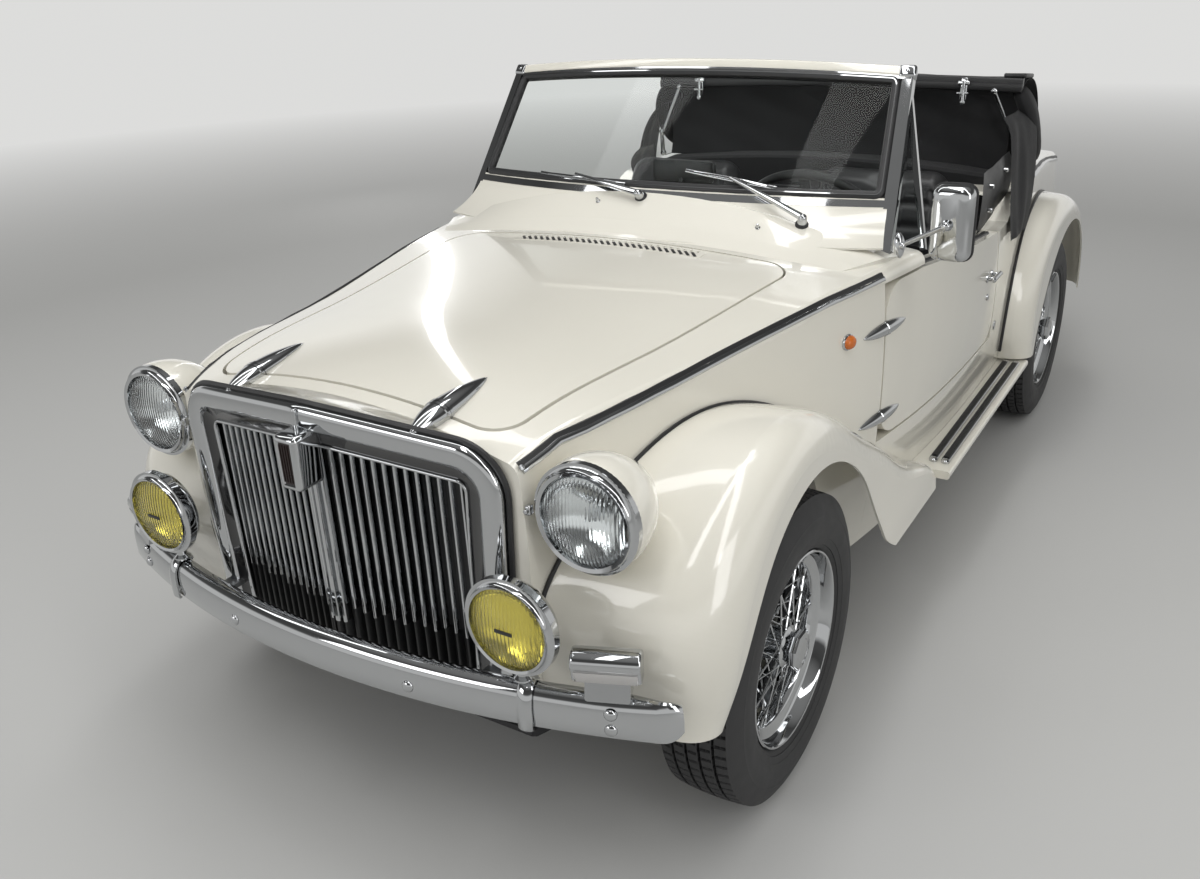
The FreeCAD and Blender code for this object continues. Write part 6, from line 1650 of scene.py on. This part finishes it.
def press_back(vert):
    """Horizontal pleats between two side rolls; local Z is up and local Y points forward."""
    x, y, z = vert.co
    if y > -0.01:
        nearest = min(abs(z - seam) for seam in BACK_SEAMS)
        edge = channel(abs(x) - ROLL_SEAM_X, 0.006, 0.009) * (1 if z < 0.19 else 0)
        vert.co.y -= pleated(x) * (0.004 + channel(nearest, 0.0075, 0.0085)) + edge
    upper = max(0.0, (z - 0.08) / 0.19)
    vert.co.x = x * (1 - 0.2 * upper ** 2)
    corner = max(0.0, abs(x) - 0.12) / 0.1
    if z > 0.15:
        vert.co.z -= 0.022 * corner ** 2 * (z - 0.15) / 0.12


def press_cushion(vert):
    """Pleats across the seat between two side rolls."""
    x, y, z = vert.co
    if z > 0.0:
        nearest = min(abs(y - seam) for seam in CUSHION_SEAMS)
        edge = channel(abs(x) - ROLL_SEAM_X, 0.006, 0.008)
        vert.co.z -= pleated(x) * (0.004 + channel(nearest, 0.0075, 0.008)) + edge


for side_name, sign in SIDES:
    lean = Matrix.Rotation(CUSHION_TURN, 4, "X").inverted()
    cushion_place = Matrix.Translation((sign * SEAT_X, -0.1, 0.368)) @ lean
    cushion = stuffed(f"seat_cushion_{side_name}", (SEAT_WIDE, 0.45, 0.13), cushion_place, 0.04, 0.024,
                      0.009, press_cushion)
    lean = Matrix.Rotation(BACK_TURN, 4, "X").inverted() @ Matrix.Diagonal((1, -1, 1, 1))
    back_place = Matrix.Translation((sign * SEAT_X, 0.182, 0.645)) @ lean
    stuffed(f"seat_back_{side_name}", (SEAT_WIDE, 0.1, 0.55), back_place, 0.036, 0.022, 0.009, press_back)
    if sign > 0:
        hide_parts("seats")
bm = bmesh.new()
for sign in (-1, 1):
    for along in (-0.17, 0.17):
        x = sign * SEAT_X + along
        block(bm, (0.024, 0.4, 0.014), facing((x, -0.1, 0.2345), UP, REARWARD), roll=0.002)
        for y in (-0.27, 0.07):
            rod(bm, (x, y, 0.24), (x, y, 0.32), 0.01, 12)
    rod(bm, (sign * SEAT_X - 0.17, -0.27, 0.3), (sign * SEAT_X + 0.17, -0.27, 0.3), 0.009, 12)
piece("seat_runners", bm, dull_steel, "body", "steel")

# %% [markdown]
# Under the glass the painted scuttle rises to the seal. A curved apron follows the foot of the glass and
# flares forward as it meets the scuttle, so light rolls over the joint as it does on pressed steel.

# %% Scuttle apron under the glass
def apron_spot(across, up, back):
    """Point just outside the foot of the glass, flared forward below it."""
    flare = max(0.0, 0.03 - up) / 0.4
    return screen_spot(across, up, 0.0065 + 0.05 * flare ** 2 - back)[0]


bm = bmesh.new()
bmesh.ops.create_grid(bm, x_segments=48, y_segments=10, size=0.5)
for vert in bm.verts:
    vert.co = apron_spot(2 * vert.co.x * 0.965, 0.052 - 0.4 * (0.5 - vert.co.y), 0.0)
bmesh.ops.solidify(bm, geom=bm.faces[:], thickness=0.004)
piece("scuttle_apron", bm, ivory, "body", "paint")

# %% [markdown]
# The vent slots in the hood slant to the right. A thin panel follows the skin over the row, and a dark
# block lies in it for each slot, painted shade that stands for the opening, so the row reads from a
# distance as it does on the car.

# %% Hood vents
SLOTS, SLOT_PITCH, SLOT_LONG, SLOT_WIDE, SLOT_TURN = 28, 0.016, 0.028, 0.0064, math.radians(40)
VENT_Y = -0.734
panel, slot_shades = bmesh.new(), bmesh.new()


def vent_skin(x, y, lift):
    """Point on the skin of the hood carried on over the slots, and the slope across them."""
    near, far = top_point("hood_lid", x, -0.751)[0], top_point("hood_lid", x, -0.771)[0]
    slope = (near.z - far.z) / 0.02
    return Vector((x, y, near.z + slope * (y + 0.751) + lift))


bmesh.ops.create_grid(panel, x_segments=60, y_segments=6, size=0.5)
for vert in panel.verts:
    vert.co = vent_skin(0.472 * vert.co.x, VENT_Y + 0.03 * vert.co.y, 0.0006)
bmesh.ops.solidify(panel, geom=panel.faces[:], thickness=0.001)
for k in range(SLOTS):
    x = SLOT_PITCH * (k - (SLOTS - 1) / 2)
    along = (vent_skin(x, VENT_Y + 0.01, 0) - vent_skin(x, VENT_Y - 0.01, 0)).normalized()
    way = (vent_skin(x + 0.01, VENT_Y, 0) - vent_skin(x - 0.01, VENT_Y, 0)).cross(along).normalized()
    place = facing(vent_skin(x, VENT_Y, 0) + way * 0.001, way, along) @ Matrix.Rotation(SLOT_TURN, 4, "Z")
    # each dark block paints the shade inside one slot
    block(slot_shades, (SLOT_WIDE, SLOT_LONG, 0.0008), place, roll=0.0003)
piece("vent_panel", panel, ivory, "hood_lid", "paint")
piece("vent_slot_shades", slot_shades, grille_black, "hood_lid", "black_trim")

# %% [markdown]
# The rear end is hidden in the photograph, so it follows what such cars have: round lamps in plated
# rings, a blank plate under a small lamp, a handle on the engine lid and a bright strip on the shoulder.

# %% Tail lamps
TAIL_LAMP_X = 0.43
red_domes, orange_domes, rings = bmesh.new(), bmesh.new(), bmesh.new()
for z, lens in ((0.6, red_domes), (0.52, orange_domes)):
    spot, way = on_skin("rear_body", (TAIL_LAMP_X, BEHIND_Y, z), AHEAD)
    place = facing((TAIL_LAMP_X, spot.y, z), REARWARD)
    lathe(rings, [(-0.004, 0.0), (-0.004, 0.037), (0.004, 0.037), (0.009, 0.0345), (0.0105, 0.031),
                  (0.008, 0.03), (0.008, 0.0)], place, 48)
    lathe(lens, [(0.0075, 0.0), (0.0075, 0.03), (0.011, 0.03), (0.015, 0.0285), (0.02, 0.024),
                 (0.024, 0.016), (0.0258, 0.007), (0.026, 0.0)], place, 48)
for bm, name, mat, slot in ((red_domes, "tail_lamp_lenses", red_glass, "red_glass"),
                            (orange_domes, "tail_turn_lenses", orange_glass, "amber_glass"),
                            (rings, "tail_lamp_rings", chrome, "chrome")):
    made = paired(name, bm, mat, slot)
    if name == "tail_lamp_lenses":
        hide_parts("tail_lamps")

# %% Blank plate, its lamp and the engine lid handle
PLATE_Z = 0.52
tail = on_skin("rear_body", (0.0, BEHIND_Y, PLATE_Z), AHEAD)[0]
bm = bmesh.new()
block(bm, (0.46, 0.112, 0.003), facing((0, tail.y + 0.009, PLATE_Z), REARWARD), roll=0.0012, segments=2)
piece("blank_plate", bm, ivory, "body", "paint")
bm = bmesh.new()
block(bm, (0.474, 0.126, 0.006), facing((0, tail.y + 0.0045, PLATE_Z), REARWARD), roll=0.0025, segments=3)
piece("plate_carrier", bm, black_rubber, "body", "black_trim")
bm = bmesh.new()
hood = [Vector((-0.06 + 0.12 * k / 10, tail.y + 0.01 + 0.012 * math.sin(math.pi * k / 10), 0.6))
        for k in range(11)]
sweep(bm, hood, [(-0.016, -0.01), (-0.016, 0.004), (-0.01, 0.01), (0.004, 0.011), (0.014, 0.006),
                 (0.016, -0.006), (0.01, -0.01)])
for x in (-0.2, 0.2):
    lathe(bm, [(0.0, 0.0055), (0.002, 0.0055), (0.0034, 0.0)],
          facing((x, tail.y + 0.0105, PLATE_Z), REARWARD), 16)
piece("plate_lamp", bm, chrome, "body", "chrome")
bm = bmesh.new()
spot, way = top_point("engine_lid", 0.0, 1.52)
place = facing(spot, way, REARWARD)
lathe(bm, [(-0.002, 0.0), (-0.002, 0.016), (0.003, 0.0155), (0.005, 0.008), (0.016, 0.007), (0.018, 0.0)],
      place, 32)
sweep(bm, [place @ Vector((x, 0, 0.019)) for x in (-0.04, -0.034, -0.01, 0.01, 0.034, 0.04)],
      rounded_box_section(0.006, 0.0036, 0.002, 3), way,
      sizes=[(0.5, 0.5), (0.8, 0.9), (1.1, 1.2), (1.1, 1.2), (0.8, 0.9), (0.5, 0.5)])
piece("engine_lid_handle", bm, chrome, "engine_lid", "chrome")

# %% Bright strip on the rear shoulder
REAR_SHOULDER = [(0.66, 0.806), (0.781, 0.805), (0.95, 0.793), (1.156, 0.77), (1.35, 0.743), (1.56, 0.708)]
lay_trim("rear_trim", *cast_line("rear_body", REAR_SHOULDER, 5))

# %% [markdown]
# The doors are trimmed inside with padded vinyl cards, a map pocket and a pull. They ride with the door,
# so nothing stays behind when it opens.

# %% Door cards and top seals
CARD_Y, CARD_LONG, CARD_LOW, PULL_Z = -0.195, 0.67, 0.5, 0.67


def door_inner(y, z):
    """Inner face of the left door."""
    return on_skin("door_left", (0.0, y, z), (1, 0, 0))[0].x


def door_top(y):
    """Middle of the upper edge of the left door."""
    x = (door_inner(y, 0.7) + side_point("door_left", y, 0.7)[0].x) / 2
    return top_point("door_left", x, y)[0]


for side_name, sign in SIDES:
    card, bright, seal = bmesh.new(), bmesh.new(), bmesh.new()
    bmesh.ops.create_grid(card, x_segments=40, y_segments=14, size=0.5)
    for vert in card.verts:
        y = CARD_Y + CARD_LONG * vert.co.x
        low, high = CARD_LOW, door_top(y).z - 0.016
        z = low + (high - low) * (vert.co.y + 0.5)
        edge = max(abs(vert.co.x), abs(vert.co.y)) > 0.499
        vert.co = (door_inner(y, min(z, high - 0.004)) - (0.002 if edge else 0.009), y, z)
    bmesh.ops.solidify(card, geom=card.faces[:], thickness=0.003)
    rest_x = door_inner(-0.2, 0.6)
    pocket = facing((rest_x - 0.016, -0.2, 0.56), (-1, 0, 0))
    block(card, (0.4, 0.085, 0.016), pocket, roll=0.006, segments=4)
    pull = [Vector((rest_x - 0.008 - 0.028 * math.sin(math.pi * k / 12) ** 0.6,
                    -0.27 + 0.16 * k / 12, PULL_Z)) for k in range(13)]
    sweep(bright, pull, rounded_box_section(0.004, 0.009, 0.003, 3))
    knob_x = door_inner(-0.01, 0.69)
    lathe(bright, [(0.0, 0.0), (0.0, 0.015), (0.004, 0.0145), (0.006, 0.006), (0.02, 0.0055), (0.021, 0.0)],
          facing((knob_x - 0.009, -0.01, 0.69), (-1, 0, 0)), 24)
    rod(bright, (knob_x - 0.027, -0.01, 0.69), (knob_x - 0.027, -0.072, 0.686), 0.005, 12)
    seal_line = [door_top(-0.545 + 0.7 * k / 14) + Vector((0, 0, 0.001)) for k in range(15)]
    sweep(seal, seal_line, rounded_box_section(0.0075, 0.0035, 0.0025, 3))
    for bm, name, mat, slot in ((card, "door_card", black_vinyl, "vinyl"),
                                (bright, "door_pull", chrome, "chrome"),
                                (seal, "door_top_seal", black_rubber, "black_trim")):
        onto_side(bm, sign)
        piece(f"{name}_{side_name}", bm, mat, f"door_{side_name}", slot)

# %% [markdown]
# The cockpit is seen through the glass and over the doors. Dials, a wheel hub, the gear lever and the
# pedals are small, but their places tell the eye that a driver fits in.

# %% Dials and steering wheel hub
# x and radius of each dial, and x of each knob
DIALS = ((0.195, 0.03), (0.262, 0.045), (0.372, 0.045), (0.442, 0.03))
KNOBS = (-0.3, -0.22, -0.14, 0.09, 0.13)
bright, dark, marks = bmesh.new(), bmesh.new(), bmesh.new()
for x, radius in DIALS:
    hit = on_skin("dashboard", (x, 0.3, 0.842), AHEAD)
    place = facing(*hit)
    lathe(bright, [(-0.002, radius - 0.006), (-0.002, radius + 0.003), (0.005, radius + 0.0025),
                   (0.0085, radius), (0.008, radius - 0.004), (0.003, radius - 0.006)], place, 48)
    lathe(dark, [(-0.001, 0.0), (-0.001, radius - 0.004), (0.0022, radius - 0.004), (0.0022, 0.0)], place,
          48)
    for index in range(11):
        turn = math.radians(-135 + 27 * index)
        spot = place @ Matrix.Rotation(turn, 4, "Z")
        block(marks, (0.0013, 0.006, 0.0005), spot @ Matrix.Translation((0, radius - 0.011, 0.0026)))
    needle = place @ Matrix.Rotation(math.radians(120), 4, "Z")
    block(marks, (0.0016, radius * 0.75, 0.0008), needle @ Matrix.Translation((0, radius * 0.3, 0.004)))
    lathe(bright, [(0.002, 0.0), (0.002, 0.0036), (0.006, 0.003), (0.0064, 0.0)], place, 20)
for x in KNOBS:
    hit = on_skin("dashboard", (x, 0.3, 0.812), AHEAD)
    lathe(bright, [(0.0, 0.0), (0.0, 0.01), (0.003, 0.0095), (0.005, 0.006), (0.014, 0.0075),
                   (0.0165, 0.005), (0.017, 0.0)], facing(*hit), 24)
piece("dial_rings", bright, chrome, "body", "chrome")
piece("dial_faces", dark, gloss_black, "body", "black_trim")
piece("dial_marks", marks, ivory, "body", "paint")
COLUMN_WAY = Vector((0, math.cos(math.radians(27)), math.sin(math.radians(27))))
HUB_SPOT = Vector((0.3, -0.262, 0.8))
bm = bmesh.new()
lathe(bm, [(-0.006, 0.0), (-0.006, 0.04), (0.0, 0.041), (0.008, 0.038), (0.012, 0.03), (0.0135, 0.015),
           (0.0138, 0.0)], facing(HUB_SPOT, COLUMN_WAY), 48)
piece("wheel_hub_pad", bm, black_vinyl, "steering_wheel", "vinyl")
bm = bmesh.new()
lathe(bm, [(0.01, 0.018), (0.0125, 0.024), (0.015, 0.0235), (0.015, 0.018), (0.012, 0.0165)],
      facing(HUB_SPOT, COLUMN_WAY), 48)
piece("wheel_hub_ring", bm, chrome, "steering_wheel", "chrome")

# %% Gear lever, hand brake and pedals
PEDALS = ((0.22, 0.055), (0.3, 0.06), (0.385, 0.048))
dark, bright = bmesh.new(), bmesh.new()
lathe(dark, [(0.0, 0.0), (0.0, 0.042), (0.006, 0.04), (0.016, 0.03), (0.03, 0.026), (0.042, 0.018),
             (0.056, 0.013), (0.06, 0.0)], facing((0.0, -0.33, 0.33), (0, 0.15, 1), REARWARD), 32)
rod(bright, (0.0, -0.3215, 0.38), (0.0, -0.27, 0.52), 0.006, 12)
lathe(dark, [(-0.02, 0.0), (-0.02, 0.009), (-0.008, 0.019), (0.006, 0.022), (0.018, 0.016), (0.023, 0.0)],
      facing((0.0, -0.265, 0.534), (0, 0.35, 1), REARWARD), 32)
rod(bright, (0.0, -0.03, 0.345), (0.0, 0.07, 0.392), 0.008, 14)
rod(dark, (0.0, 0.064, 0.389), (0.0, 0.16, 0.434), 0.0145, 18)
for x, wide in PEDALS:
    block(dark, (wide, 0.06, 0.012), facing((x, -0.668, 0.375), (0, 0.85, 0.5)), roll=0.004, segments=3)
    rod(bright, (x, -0.676, 0.372), (x, -0.735, 0.44), 0.006, 10)
piece("controls_dark", dark, black_rubber, "body", "black_trim")
piece("controls_bright", bright, chrome, "body", "chrome")
